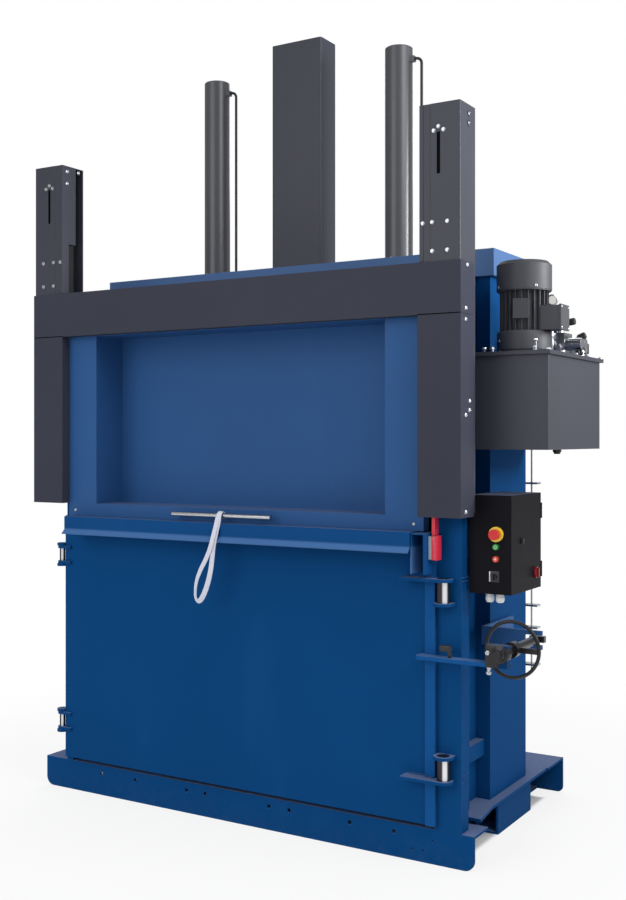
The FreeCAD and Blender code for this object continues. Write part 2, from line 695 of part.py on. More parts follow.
def base_front_beam():
    beam = profile(
        "YZ",
        [
            (back("0"), "0"),
            (back("plate"), "0"),
            (back("plate"), "beamHigh - plate"),
            (back("postDeep"), "beamHigh - plate"),
            (back("postDeep"), "beamHigh"),
            (back("0"), "beamHigh"),
        ],
        ("-baseHalf", "baseHalf"),
    )
    round_edges(
        beam,
        "beamCorner",
        lambda edge: runs_along(edge, "y") and abs(edge.CenterOfMass.z) < 1,
    )
    foot = ("-baseHalf + beamCorner", "baseHalf - beamCorner")
    pad(beam, "XY", box_points(foot, (back("plate"), back("beamFoot"))), ("0", "plate"))
    places = ("portInner", "portSecond", "portThird", "portOuter")
    ports = [(f"{sign}{place}", "portHigh") for sign in ("", "-") for place in places]
    face = (back("-1"), back("plate + 1"))
    drill(beam, "XZ", ports, "portSize / 2", face)
    taps = [
        ("baseHalf - tapFar", "tapLow"),
        ("baseHalf - tapMiddle", "tapLow"),
        ("baseHalf - tapNear", "tapRaised"),
    ]
    drill(beam, "XZ", taps, "tapSize / 2", face)
    drill(beam, "XY", anchors("-"), "anchorHole / 2", ("-1", "plate + 1"))
    node("base_front_beam", beam)


def anchors(sign):
    return [(f"{side}anchorX / 2", f"{sign}anchorY / 2") for side in ("-", "")]


def base_rear_beam():
    beam = profile(
        "YZ",
        [
            (back("rearEnd"), "0"),
            (back("rearEnd"), "floorTop"),
            (back("rearBeam"), "floorTop"),
            (back("rearBeam"), "floorTop - plate"),
            (back("rearEnd - plate"), "floorTop - plate"),
            (back("rearEnd - plate"), "0"),
        ],
        ("-rearHalf", "rearHalf"),
    )
    round_edges(
        beam,
        "rearCorner",
        lambda edge: runs_along(edge, "y") and abs(edge.CenterOfMass.z) < 1,
    )
    flat = ("anchorY / 2 - anchorPlate / 2", back("rearEnd - plate"))
    for side in ("-", ""):
        foot = (f"{side}anchorX / 2 - anchorPlate / 2", f"{side}anchorX / 2 + anchorPlate / 2")
        pad(beam, "XY", box_points(foot, flat), ("0", "plate"))
    drill(beam, "XY", anchors(""), "anchorHole / 2", ("-1", "plate + 1"))
    node("base_rear_beam", beam)


def base_feet():
    depth = (back("footFront"), back("footBack"))
    height = ("0", "floorTop - floorThick")
    side = tube(("footOut - footWide", "footOut"), depth, height, "y", "plate")
    middle = tube(("-footWide / 2", "footWide / 2"), depth, height, "y", "plate")
    node("base_feet", fuse(side, mirrored(side), middle))


def slat_width(half):
    return f"((2 * {half} - (slatCount - 1) * wireGap) / slatCount)"


def slats(piece, plane, half, along, span):
    """Equal slats across the chamber with wire channels between them."""
    width = slat_width(half)
    first = pad(piece, plane, box_points((f"-{half}", f"-{half} + {width}"), along), span)
    repeat(piece, first, "x", f"(slatCount - 1) * ({width} + wireGap)", "slatCount")


def floor_plate():
    outline = [
        ("-floorFlare", back("postDeep")),
        ("floorFlare", back("postDeep")),
        ("floorWide", back("floorStep")),
        ("floorWide", back("rearBeam")),
        ("-floorWide", back("rearBeam")),
        ("-floorWide", back("floorStep")),
    ]
    floor = profile("XY", outline, ("floorTop - floorThick", "floorTop"))
    long = (back("postDeep + shoePlay"), back("backWall"))
    slats(floor, "XY", "(chamberHalf - 1)", long, ("floorTop", "floorTop + slatThick"))
    node("floor_plate", floor)


# ---- walls and press frame ----


def side_walls():
    wall = profile(
        "XY",
        box_points(("chamberHalf", "chamberHalf + plate"), (back("postDeep"), back("backWall"))),
        ("floorTop", "wallTop"),
    )
    inner = "chamberHalf + plate"
    channel = [
        (inner, back("postDeep")),
        ("ribOut", back("postDeep")),
        ("ribOut", back("stiffBack")),
        (inner, back("stiffBack")),
        (inner, back("stiffBack - wall")),
        ("ribOut - wall", back("stiffBack - wall")),
        ("ribOut - wall", back("postDeep + wall")),
        (inner, back("postDeep + wall")),
    ]
    pad(wall, "XY", channel, ("floorTop", "wallTop"))
    rib = [
        (inner, "ribLow"),
        ("ribOut", "ribLow"),
        ("ribOut", "ribLow + ribHigh"),
        (inner, "ribLow + ribHigh"),
        (inner, "ribLow + ribHigh - wall"),
        ("ribOut - wall", "ribLow + ribHigh - wall"),
        ("ribOut - wall", "ribLow + wall"),
        (inner, "ribLow + wall"),
    ]
    low = pad(wall, "XZ", rib, (back("stiffBack"), back("columnFront")))
    repeat(wall, low, "z", "2 * ribPitch", "3")
    node("side_wall_right", wall)
    node("side_wall_left", mirrored(wall))


def back_wall():
    wall = profile(
        "XY",
        box_points(("-chamberHalf - plate", "chamberHalf + plate"), (back("backWall"), back("backWall + plate"))),
        ("floorTop", "wallTop"),
    )
    start = "(-chamberHalf + backRib)"
    near_y, far_y = back("backWall + plate"), back("backWall + plate + backRib")
    rib = [
        (start, near_y),
        (f"{start} + wall", near_y),
        (f"{start} + wall", f"{far_y} - wall"),
        (f"{start} + backRib - wall", f"{far_y} - wall"),
        (f"{start} + backRib - wall", near_y),
        (f"{start} + backRib", near_y),
        (f"{start} + backRib", far_y),
        (start, far_y),
    ]
    first = pad(wall, "XY", rib, ("floorTop", "wallTop"))
    repeat(wall, first, "x", "2 * chamberHalf - 3 * backRib", "backRibs")
    node("back_wall", wall)


def columns():
    column = tube(
        ("chamberHalf + plate", "columnOut"),
        (back("columnFront"), back("columnBack")),
        ("floorTop", "wallTop"),
        "z",
        "plate",
    )
    node("column_right", column)
    node("column_left", mirrored(column))


def crosshead():
    low, high = "wallTop", "wallTop + headHigh"
    head = profile(
        "XY",
        box_points(("-headHalf", "headHalf"), (back("headFront"), back("headBack"))),
        (low, high),
    )
    inside = (back("headFront + headPlate"), back("headBack - headPlate"))
    bay = ("-chamberHalf + plate", "chamberHalf - plate")
    trim(head, "XY", box_points(bay, inside), (low, f"{high} - headPlate"))
    end_cell = (back("headFront + headPlate"), back("headBack + 1"))
    for side in ("", "-"):
        reach = (f"{side}(chamberHalf + plate)", f"{side}(headHalf - headPlate)")
        trim(head, "XY", box_points(reach, end_cell), (f"{low} + headPlate", f"{high} - headPlate"))
    through = (f"{high} - headPlate - 1", f"{high} + 1")
    drill(head, "XY", [("cylinderX", "0"), ("-cylinderX", "0")], "barrel / 2 + fit", through)
    hole_x = ("-mastWide / 2 - mastPlay", "mastWide / 2 + mastPlay")
    hole_y = ("-mastDeep / 2 - mastPlay", "mastDeep / 2 + mastPlay")
    trim(head, "XY", box_points(hole_x, hole_y), through)
    node("crosshead", head)


def posts():
    """Two front posts, stepped back behind the towers; the right one has the latch post beside it."""
    low_z = ("beamHigh", "towerLow")
    low = tube(("chamberHalf", "postOut"), (back("0"), back("postDeep")), low_z, "z", "wall")
    high = tube(
        ("chamberHalf", "postOut"), (back("towerBack"), back("postDeep")), ("towerLow", "wallTop"), "z", "wall"
    )
    latch = tube(("postOut", "latchPostOut"), (back("0"), back("latchPostDeep")), low_z, "z", "wall")
    node("post_right", fuse(low, high, latch))
    node("post_left", mirrored(fuse(low, high)))


# ---- towers and cover ----

TOWER_OUT = "(coverHalf - sheet - fit)"
TOWER_IN = f"({TOWER_OUT} - towerWide)"
TOWER_FRONT = "(coverFront + sheet + fit)"


def towers():
    outside = box_points((TOWER_IN, TOWER_OUT), (back(TOWER_FRONT), back("towerBack")))
    tower = profile("XY", outside, ("towerLow", "towerTop"))
    round_edges(tower, "wall", lambda edge: runs_along(edge, "z") and edge.CenterOfMass.y < number(back("0")))
    inside = box_points(
        (f"{TOWER_IN} + wall", f"{TOWER_OUT} - wall"),
        (back(f"{TOWER_FRONT} + wall"), back("towerBack - wall")),
    )
    hollow = ("towerLow + wall", "towerTop - wall")
    trim(tower, "XY", inside, hollow)
    through_wall = (f"{TOWER_IN} - 1", f"{TOWER_IN} + wall + 1")
    for front_edge, top in (("guideUpper", "towerTop - wall"), ("guideFront", "guideTop")):
        window = box_points((back(front_edge), back("towerBack - wall")), ("towerLow + wall", top))
        trim(tower, "YZ", window, through_wall)
    strip = (TOWER_IN, f"{TOWER_IN} + stripWide")
    step = (back(f"{TOWER_FRONT} - 1"), back(f"{TOWER_FRONT} + stripStep"))
    trim(tower, "XZ", box_points(strip, ("towerLow", "towerTop")), step)
    slot = (f"{TOWER_OUT} - slotOff - slotWide / 2", f"{TOWER_OUT} - slotOff + slotWide / 2")
    front_wall = (back(f"{TOWER_FRONT} - 1"), back(f"{TOWER_FRONT} + wall + 1"))
    trim(tower, "XZ", box_points(slot, ("slotLow", "slotHigh")), front_wall)
    node("tower_right", tower)
    node("tower_left", mirrored(tower))


def cover_section(inner, returns):
    """The folded section of a cover leg, seen from above."""
    return [
        (inner, back("coverFront")),
        ("coverHalf", back("coverFront")),
        ("coverHalf", back("coverBack")),
        ("coverHalf - sheet", back("coverBack")),
        ("coverHalf - sheet", back("coverFront + sheet")),
        (f"{inner} + sheet", back("coverFront + sheet")),
        (f"{inner} + sheet", back(returns)),
        (inner, back(returns)),
    ]


def cover():
    inner = "(coverHalf - legWide)"
    leg = profile("XY", cover_section(inner, "coverFront + returnDeep"), ("legLow", "headerLow - seam"))
    node("cover_leg_right", leg)
    node("cover_leg_left", mirrored(leg))
    front = block(
        ("-coverHalf", "coverHalf"), (back("coverFront"), back("coverFront + sheet")), ("headerLow", "wallTop")
    )
    side = block(
        ("coverHalf - sheet", "coverHalf"), (back("coverFront + sheet"), back("coverBack")), ("headerLow", "wallTop")
    )
    fold = (back("coverFront + sheet"), back("coverFront + returnDeep"))
    lower = block((f"-{inner}", inner), fold, ("headerLow", "headerLow + sheet"))
    upper = block((f"-{inner}", inner), fold, ("wallTop - sheet", "wallTop"))
    node("cover_header", fuse(front, side, mirrored(side), lower, upper))


# ---- gate ----


def gate_panel():
    gate = profile(
        "XZ",
        box_points(("-gateHalf", "gateHalf"), ("gateLow", "gateHigh")),
        (back("gateFront"), back("gateFront + wall")),
    )
    pan = [("-panHalf - wall", "panHalf + wall"), ("panLow - wall", "panHigh + wall")]
    pad(gate, "XZ", box_points(*pan), (back("gateFront + wall"), back("panBack")))
    recess = [("-panHalf", "panHalf"), ("panLow", "panHigh")]
    trim(gate, "XZ", box_points(*recess), (back("gateFront"), back("panBack - wall")))
    hem = (back("gateFront + wall"), back("gateFront + returnDeep"))
    for side in ("", "-"):
        reach = (f"{side}(gateHalf - wall)", f"{side}gateHalf")
        pad(gate, "XZ", box_points(reach, ("gateLow", "gateHigh")), hem)
    pad(gate, "XZ", box_points(("-gateHalf + wall", "gateHalf - wall"), ("gateLow", "gateLow + wall")), hem)
    node("gate_panel", gate)


def gate_handle():
    rod = bar("x", (back("barFront"), "barHigh"), "barThick / 2", ("barLeft", "barRight"))
    stands = [
        bar("y", (place, "barHigh"), "standoff / 2", (back("barFront"), back("gateFront")))
        for place in ("barLeft + 2 * barThick", "barRight - 2 * barThick")
    ]
    node("gate_handle", fuse(rod, *stands))


def gate_shoes():
    depth = (back("guideFront + shoePlay"), back("towerBack - wall - shoePlay"))
    reach = ("gateHalf", "shoeOut")
    lower = block(reach, depth, ("towerLow + wall + fit", "towerLow + wall + fit + shoeHigh"))
    upper = block(reach, depth, ("shoeUpper", "shoeUpper + shoeHigh"))
    node("gate_shoes", fuse(lower, upper, mirrored(lower), mirrored(upper)))


# the strap's route, chosen by hand: across, depth behind the base's front, height
STRAP = [
    (-19, -74.7, 1283),
    (-19, -74.7, 1311.3),
    (-19, -105.3, 1311.3),
    (-20, -120.5, 1264),
    (-25, -134, 1213),
    (-34, -138, 1164),
    (-56, -139, 1116),
    (-84, -140, 1070),
    (-105, -141, 1022),
    (-112, -141, 975),
    (-106, -142, 950),
    (-91, -142, 939),
    (-75, -142, 951),
    (-60, -141, 981),
    (-42, -141, 1026),
    (-30, -140, 1078),
    (-24, -139, 1129),
    (-19, -138, 1172),
    (-11, -134, 1217),
    (-6, -120.5, 1264),
    (-5, -105.3, 1311.3),
    (-5, -74.7, 1311.3),
    (-5, -74.7, 1283),
]


def rounded_route(points):
    """Straight runs joined by tangent arcs, each as large as its two runs allow."""
    edges = []
    radii = []
    start = points[0]
    for before, corner, after in zip(points, points[1:], points[2:]):
        into = (corner - before).normalize()
        out = (after - corner).normalize()
        leg = 0.45 * min(corner.distanceToPoint(before), corner.distanceToPoint(after))
        half_turn = into.getAngle(out) / 2
        radius = leg / math.tan(half_turn)
        first = corner - into * leg
        last = corner + out * leg
        inward = (out - into).normalize()
        crown = (first + last) / 2 - inward * radius * (1 - math.cos(half_turn))
        edges.append(Part.LineSegment(start, first).toShape())
        edges.append(Part.Arc(first, crown, last).toShape())
        radii.append(round(radius))
        start = last
    edges.append(Part.LineSegment(start, points[-1]).toShape())
    return Part.Wire(edges), radii


def pull_strap():
    shift = number("frontReach")
    places = [Vector(x, y - shift, z) for x, y, z in STRAP]
    route, radii = rounded_route(places)
    ring = Part.Circle(places[0], route.Edges[0].tangentAt(0), number("strapThick") / 2)
    strap = doc.addObject("Part::Feature", "strap")
    strap.Shape = route.makePipeShell([Part.Wire([ring.toShape()])], True, False)
    print("strap radii", radii, "length", round(route.Length))
    node("pull_strap", strap)


def counterweights():
    middle = f"({TOWER_OUT} - wall - fit)"
    depth = (back(f"{TOWER_FRONT} + wall + fit"), back(f"{TOWER_FRONT} + wall + fit + weightDeep"))
    weight = block((f"{middle} - weightWide", middle), depth, ("weightLow", "weightHigh"))
    node("counterweights", fuse(weight, mirrored(weight)))


# ---- door ----


def door_panel():
    skin = block(("doorLeft", "doorRight"), (back("doorFront"), back("doorFront + skin")), ("doorLow", "doorHigh"))
    inner_face = "boxBack - slatThick"
    box_x, box_y, box_z = ("-boxHalf", "boxHalf"), (back("doorFront + skin"), back("boxBack")), ("boxLow", "boxHigh")
    rim = tube(box_x, box_y, box_z, "y", "plate")
    rails = [
        block(
            ("-boxHalf + plate", "boxHalf - plate"),
            (back("doorFront + skin"), back(inner_face)),
            (f"boxLow + (boxHigh - boxLow) * {third} / 3", f"boxLow + (boxHigh - boxLow) * {third} / 3 + plate"),
        )
        for third in (1, 2)
    ]
    face = doc.addObject("PartDesign::Body", "face")
    slat_z = ("boxLow + plate", "boxHigh - plate")
    slats(face, "XZ", "(boxHalf - plate)", slat_z, (back(inner_face), back("boxBack")))
    node("door_panel", fuse(skin, rim, *rails, face))


def door_edge_bar():
    depth = (back("doorFront - skin"), back("doorFront"))
    node("door_edge_bar", block(("barInner", "doorRight"), depth, ("doorLow", "doorHigh")))


def door_ledge():
    slant = f"{math.sqrt(0.5):.4f} * sheet"
    mitre = f"{math.tan(math.pi / 8):.4f} * sheet"
    ledge = profile(
        "YZ",
        [
            (back("doorFront"), "ledgeTop"),
            (back("ledgeFront"), "ledgeTop"),
            (back("ledgeFront"), "webLow"),
            (back("ledgeFront - lip"), "webLow - lip"),
            (back(f"ledgeFront - lip + {slant}"), f"webLow - lip - {slant}"),
            (back("ledgeFront + sheet"), f"webLow - {mitre}"),
            (back("ledgeFront + sheet"), "ledgeTop - sheet"),
            (back("doorFront"), "ledgeTop - sheet"),
        ],
        ("-ledgeHalf", "ledgeHalf"),
    )
    depth = (back("ledgeFront + 2 * sheet"), back("cheekBack"))
    cheek_high = ("cheekLow", "doorHigh")
    inner = block(("ledgeHalf", "ledgeHalf + wall"), (depth[0], back("doorFront")), cheek_high)
    outer = block(("doorRight - plate", "doorRight"), depth, cheek_high)
    top = block(("ledgeHalf", "doorRight"), depth, ("doorHigh - wall", "doorHigh"))
    node("door_ledge", fuse(ledge, inner, outer, top))


def hinge_heights():
    """Each hinge's lower and upper level of clear span."""
    return [(low, f"{low} + hingeSpan") for low in ("hingeLow", "hingeHigh")]


def lock_levels():
    """Each locating pin's span, with the side that its frame lug is on."""
    return [("lockLow", "lockLow + lockSpan", "above"), ("lockHigh", "lockHigh + lockSpan", "below")]


def eye_plate(centre, radius, z, x, y):
    """A plate with a round end about a vertical axis."""
    return fuse(bar("z", centre, radius, z), block(x, y, z))


def hinge_lugs():
    axis = ("hingeX", back("hingeBack"))
    pieces = []
    bore = bar("z", axis, "hingePin / 2", ("hingeLow - 2 * lug", "hingeHigh + hingeSpan + 2 * lug"))
    for low, high in hinge_heights():
        for z in ((f"{low} - lug", low), (high, f"{high} + lug")):
            plate = eye_plate(
                axis,
                "lugEye",
                z,
                ("hingeX", "-postOut"),
                (back("hingeBack"), back("hingeBack + 3 * lugEye")),
            )
            pieces.append(plate)
    left = cut(fuse(*pieces), bore)
    axis = ("lockX", back("lockBack"))
    bore = bar("z", axis, "lockPin / 2", ("lockLow - 2 * lug", "lockHigh + lockSpan + 2 * lug"))
    pieces = []
    for low, high, side in lock_levels():
        z = (high, f"{high} + lug") if side == "above" else (f"{low} - lug", low)
        plate = eye_plate(axis, "lockEye", z, ("lockX - lockEye", "lockX + lockEye"), (back("lockBack"), back("0")))
        pieces.append(cut(plate, block(("chamberHalf", "latchPostOut"), (back("0"), back("postDeep")), z)))
    right = cut(fuse(*pieces), bore)
    node("hinge_lugs", fuse(left, right))


def door_pins():
    pins = []
    for low, high in hinge_heights():
        axis = ("hingeX", back("hingeBack"))
        pins.append(bar("z", axis, "hingePin / 2", (f"{low} - lug", f"{high} + lug")))
    for low, high, side in lock_levels():
        axis = ("lockX", back("lockBack"))
        pins.append(bar("z", axis, "lockPin / 2", (f"{low} - lug", f"{high} + lug")))
    node("door_pins", fuse(*pins))


def door_hinge_plates():
    axis = ("hingeX", back("hingeBack"))
    bore = bar("z", axis, "hingePin / 2 + runFit", ("hingeLow - 2 * lug", "hingeHigh + hingeSpan + 2 * lug"))
    pieces = []
    for low, high in hinge_heights():
        for z in ((f"{low} + lugGap", f"{low} + lugGap + lug"), (f"{high} - lugGap - lug", f"{high} - lugGap")):
            pieces.append(
                eye_plate(
                    axis,
                    "eye",
                    z,
                    ("hingeX", "doorLeft + 2 * eye"),
                    (back("hingeBack - eye"), back("doorFront")),
                )
            )
    left = cut(fuse(*pieces), bore)
    hooks = []
    slot_half = "lockPin / 2 + hookPlay"
    for low, high, side in lock_levels():
        z = (f"{low} - lug", low) if side == "above" else (high, f"{high} + lug")
        plate = eye_plate(
            ("lockX", back("lockBack")),
            "lockEye",
            z,
            ("hookLeft", "lockX"),
            (back("lockBack - lockEye"), back("doorFront")),
        )
        throat = block((f"lockX - ({slot_half})", f"lockX + {slot_half}"), (back("lockBack"), back("postDeep")), z)
        mouth = bar("z", ("lockX", back("lockBack")), slot_half, z)
        behind = block(("doorLeft", "lockX + 2 * lockEye"), (back("doorFront"), back("postDeep")), z)
        edge = block(("barInner", "doorRight"), (back("doorFront - skin"), back("doorFront")), z)
        hooks.append(cut(plate, throat, mouth, behind, edge))
    node("door_hinge_plates", fuse(left, *hooks))


def latch_arm():
    z = ("armLow", "armLow + armThick")
    arm = block(("armLeft + armThick", "armRight"), (back("armFront"), back("armBack")), z)
    root = block(("armLeft + armThick", "doorRight"), (back("armFront"), back("doorFront")), z)
    nose = bar("z", ("armLeft + armThick", back("armFront + armThick")), "armThick", z)
    heel = block(("armLeft", "armLeft + armThick"), (back("armFront + armThick"), back("doorFront")), z)
    edge = block(("barInner", "doorRight"), (back("doorFront - skin"), back("doorFront")), z)
    yoke_y = (back("armFront"), back("armFront + yokeThick"))
    yoke = block(("yokeLeft", "armRight"), yoke_y, ("armLow", "yokeHigh"))
    web = block(
        ("yokeLeft", "yokeLeft + armThick"),
        (back("armFront + yokeThick"), back("armBack")),
        ("armLow + armThick", "yokeHigh - 2 * armThick"),
    )
    bore_y = (back("armFront - 1"), back("armFront + yokeThick + 1"))
    bore = bar("y", ("spindleX", "spindleHigh"), "spindle / 2 + runFit", bore_y)
    node("latch_arm", cut(fuse(arm, root, nose, heel, yoke, web), edge, bore))


def wheel_spindle():
    centre = ("spindleX", "spindleHigh")
    rod = bar("y", centre, "spindle / 2", (back("nutFront"), back("headOfBolt + tThick")))
    nut = bar("y", centre, "nut / 2", (back("nutFront"), back("armFront - lugGap")))
    sleeve = bar("y", centre, "sleeve / 2", (back("armFront + yokeThick + lugGap"), back("sleeveBack")))
    head = block(
        ("spindleX - tLong / 2", "spindleX + tLong / 2"),
        (back("headOfBolt"), back("headOfBolt + tThick")),
        ("spindleHigh - tWide / 2", "spindleHigh + tWide / 2"),
    )
    node("wheel_spindle", fuse(rod, nut, sleeve, head))


def hand_wheel():
    """Turned about Z at the origin, then laid with its axis along the spindle."""
    radius = "(wheelSize / 2 - rim / 2)"
    wheel = doc.addObject("PartDesign::Body", "wheel")
    rim = wheel.newObject("PartDesign::Revolution", "rim")
    rim.Profile = rings(wheel, "XZ", [(radius, "0")], "rim / 2", "0")
    rim.ReferenceAxis = (rim.Profile[0], ["V_Axis"])
    rim.Angle = 360
    hub = wheel.newObject("PartDesign::Revolution", "hub")
    hub.Profile = sketch(wheel, "XZ", box_points(("sleeve / 2", "hub / 2"), ("-hubLong / 2", "hubLong / 2")), "0")
    hub.ReferenceAxis = (hub.Profile[0], ["V_Axis"])
    hub.Angle = 360
    spoke = wheel.newObject("PartDesign::Pad", "spoke")
    flat = box_points(("-spokeWide / 2", "spokeWide / 2"), ("-spokeThick / 2", "spokeThick / 2"))
    spoke.Profile = sketch(wheel, "YZ", flat, "0.5 * (sleeve / 2 + hub / 2)")
    bind(spoke, "Length", f"{radius} - 0.5 * (sleeve / 2 + hub / 2)")
    around(wheel, spoke, "spokes")
    wheel.Placement = Placement(Vector(), Rotation(AXES["z"], AXES["y"]))
    for name, text in (("x", "spindleX"), ("y", back("wheelBack")), ("z", "spindleHigh")):
        bind(wheel, f"Placement.Base.{name}", text)
    node("hand_wheel", wheel)


def latch_keeper():
    span = (back("keeperBack"), back("keeperBack + lug"))
    plate = block(("columnOut", "keeperOut"), span, ("keeperLow", "keeperHigh"))
    slot = block(
        ("spindleX - tLong / 2 - lug", "keeperOut + 1"),
        (back("keeperBack - 1"), back("keeperBack + lug + 1")),
        ("spindleHigh - keeperSlot / 2", "spindleHigh + keeperSlot / 2"),
    )
    arm = block(("columnOut", "columnOut + lug"), (back("keeperBack"), back("keeperArm")), ("keeperLow", "keeperHigh"))
    node("latch_keeper", fuse(cut(plate, slot), arm))


# ---- press ----


def cylinders():
    body = turned(
        [
            ("pistonRod / 2 + runFit", "barrelLow"),
            ("barrel / 2", "barrelLow"),
            ("barrel / 2", "wallTop + headHigh"),
            ("flange / 2", "wallTop + headHigh"),
            ("flange / 2", "wallTop + headHigh + flangeThick"),
            ("barrel / 2", "wallTop + headHigh + flangeThick"),
            ("barrel / 2", "barrelTop - barrelEdge"),
            ("barrel / 2 - barrelEdge", "barrelTop"),
            ("0", "barrelTop"),
            ("0", "barrelTop - capThick"),
            ("bore / 2", "barrelTop - capThick"),
            ("bore / 2", "barrelLow + gland"),
            ("pistonRod / 2 + runFit", "barrelLow + gland"),
        ]
    )
    boss = block(
        ("bore / 2 + portRoot", "portOut"),
        ("-portWide / 2", "portWide / 2"),
        ("portHeight - portWide / 2", "portHeight + portWide / 2"),
    )
    cylinder = fuse(body, boss)
    for label, place in (("cylinder_right", "cylinderX"), ("cylinder_left", "-cylinderX")):
        node(label, shifted(cylinder, "x", place))


def cylinder_pipes():
    """A riser from each oil port, round one bend and down to the crosshead."""
    body = doc.addObject("PartDesign::Body", "riser")
    path = body.newObject("Sketcher::SketchObject", "path")
    path.AttachmentSupport = [(next(f for f in body.Origin.OriginFeatures if f.Role == "XZ_Plane"), "")]
    path.MapMode = "FlatFace"
    start, across, bend = number("portOut"), number("pipeOff"), number("pipeBend")
    top, foot = number("portHeight"), number("wallTop + headHigh")
    path.addGeometry(Part.LineSegment(Vector(start, top, 0), Vector(across - bend, top, 0)), False)
    middle = Vector(across - bend, top - bend, 0)
    path.addGeometry(Part.ArcOfCircle(Part.Circle(middle, AXES["z"], bend), 0, math.pi / 2), False)
    path.addGeometry(Part.LineSegment(Vector(across, top - bend, 0), Vector(across, foot, 0)), False)
    path.addConstraint(Sketcher.Constraint("Tangent", 0, 2, 1, 2))
    path.addConstraint(Sketcher.Constraint("Tangent", 1, 1, 2, 1))
    path.addConstraint(Sketcher.Constraint("Horizontal", 0))
    path.addConstraint(Sketcher.Constraint("Vertical", 2))
    for kind, line, point, amount, text in (
        ("DistanceX", 0, 1, start, "portOut"),
        ("DistanceY", 0, 1, top, "portHeight"),
        ("DistanceX", 2, 2, across, "pipeOff"),
        ("DistanceY", 2, 2, foot, "wallTop + headHigh"),
    ):
        index = path.addConstraint(Sketcher.Constraint(kind, -1, 1, line, point, amount))
        bind(path, f"Constraints[{index}]", text)
    index = path.addConstraint(Sketcher.Constraint("Radius", 1, bend))
    bind(path, f"Constraints[{index}]", "pipeBend")
    riser = body.newObject("PartDesign::AdditivePipe", "riser")
    riser.Profile = rings(body, "YZ", [("0", "portHeight")], "pipe / 2", "portOut")
    riser.Spine = path
    node("cylinder_pipes", fuse(shifted(body, "x", "cylinderX"), shifted(body, "x", "-cylinderX")))


def mast_guide():
    inner_x = "(mastWide / 2 + mastPlay)"
    inner_y = "(mastDeep / 2 + mastPlay)"
    outer = block(
        (f"-{inner_x} - collar", f"{inner_x} + collar"),
        (f"-{inner_y} - collar", f"{inner_y} + collar"),
        ("wallTop + headHigh", "wallTop + headHigh + collarHigh"),
    )
    inner = block(
        (f"-{inner_x}", inner_x),
        (f"-{inner_y}", inner_y),
        ("wallTop + headHigh - 1", "wallTop + headHigh + collarHigh + 1"),
    )
    node("mast_guide", cut(outer, inner))


def platen():
    plate_top = "(platenLow + platenThick)"
    depth = (back("platenFront"), back("platenBack"))
    plate = profile("XY", box_points(("-platenHalf", "platenHalf"), depth), ("platenLow", plate_top))
    width = slat_width("platenHalf")
    first = (f"-platenHalf + {width}", f"-platenHalf + {width} + wireGap")
    groove = trim(plate, "XY", box_points(first, depth), ("platenLow", "platenLow + slatThick"))
    repeat(plate, groove, "x", f"(slatCount - 2) * ({width} + wireGap)", "slatCount - 1")
    rib_top = f"{plate_top} + platenRib"
    beams = [
        block(("-platenHalf", "platenHalf"), (f"{place} - plate", place), (plate_top, rib_top))
        for place in ("-mastDeep", "mastDeep + plate")
    ]
    ends = [
        block((f"{side}platenHalf / 2 - plate", f"{side}platenHalf / 2"), along, (plate_top, rib_top))
        for side in ("-", "")
        for along in ((back("platenFront"), "-mastDeep - plate"), ("mastDeep + plate", back("platenBack")))
    ]
    node("platen", fuse(plate, *beams, *ends))


def piston_rods():
    foot = "(platenLow + platenThick)"
    rod = turned(
        [
            ("0", foot),
            ("rodFoot / 2", foot),
            ("rodFoot / 2", f"{foot} + rodFootHigh"),
            ("pistonRod / 2", f"{foot} + rodFootHigh"),
            ("pistonRod / 2", "pistonTop - pistonHigh"),
            ("bore / 2 - runFit", "pistonTop - pistonHigh"),
            ("bore / 2 - runFit", "pistonTop"),
            ("0", "pistonTop"),
        ]
    )
    node("piston_rods", fuse(shifted(rod, "x", "cylinderX"), shifted(rod, "x", "-cylinderX")))


def mast():
    foot = "platenLow + platenThick"
    outside = box_points(("-mastWide / 2", "mastWide / 2"), ("-mastDeep / 2", "mastDeep / 2"))
    tower = profile("XY", outside, (foot, "mastTop"))
    round_edges(tower, "mastCorner", lambda edge: runs_along(edge, "z"))
    inside = box_points(
        ("-mastWide / 2 + mastWall", "mastWide / 2 - mastWall"),
        ("-mastDeep / 2 + mastWall", "mastDeep / 2 - mastWall"),
    )
    trim(tower, "XY", inside, (foot, "mastTop - mastWall"))
    node("mast", tower)


# ---- power unit ----


def tank():
    outside = box_points(("tankLeft", "tankRight"), (back("tankFront"), back("tankBack")))
    shell = profile("XY", outside, ("tankLow", "tankHigh"))
    round_edges(shell, "wall", lambda edge: runs_along(edge, "z"))
    inside = box_points(("tankLeft + wall", "tankRight - wall"), (back("tankFront + wall"), back("tankBack - wall")))
    trim(shell, "XY", inside, ("tankLow + wall", "tankHigh"))
    node("tank", shell)
    lid = block(
        ("tankLeft", "tankRight + lidOver"),
        (back("tankFront - lidOver"), back("tankBack + lidOver")),
        ("tankHigh", "tankHigh + lidThick"),
    )
    node("tank_lid", lid)


LID_TOP = "(tankHigh + lidThick)"


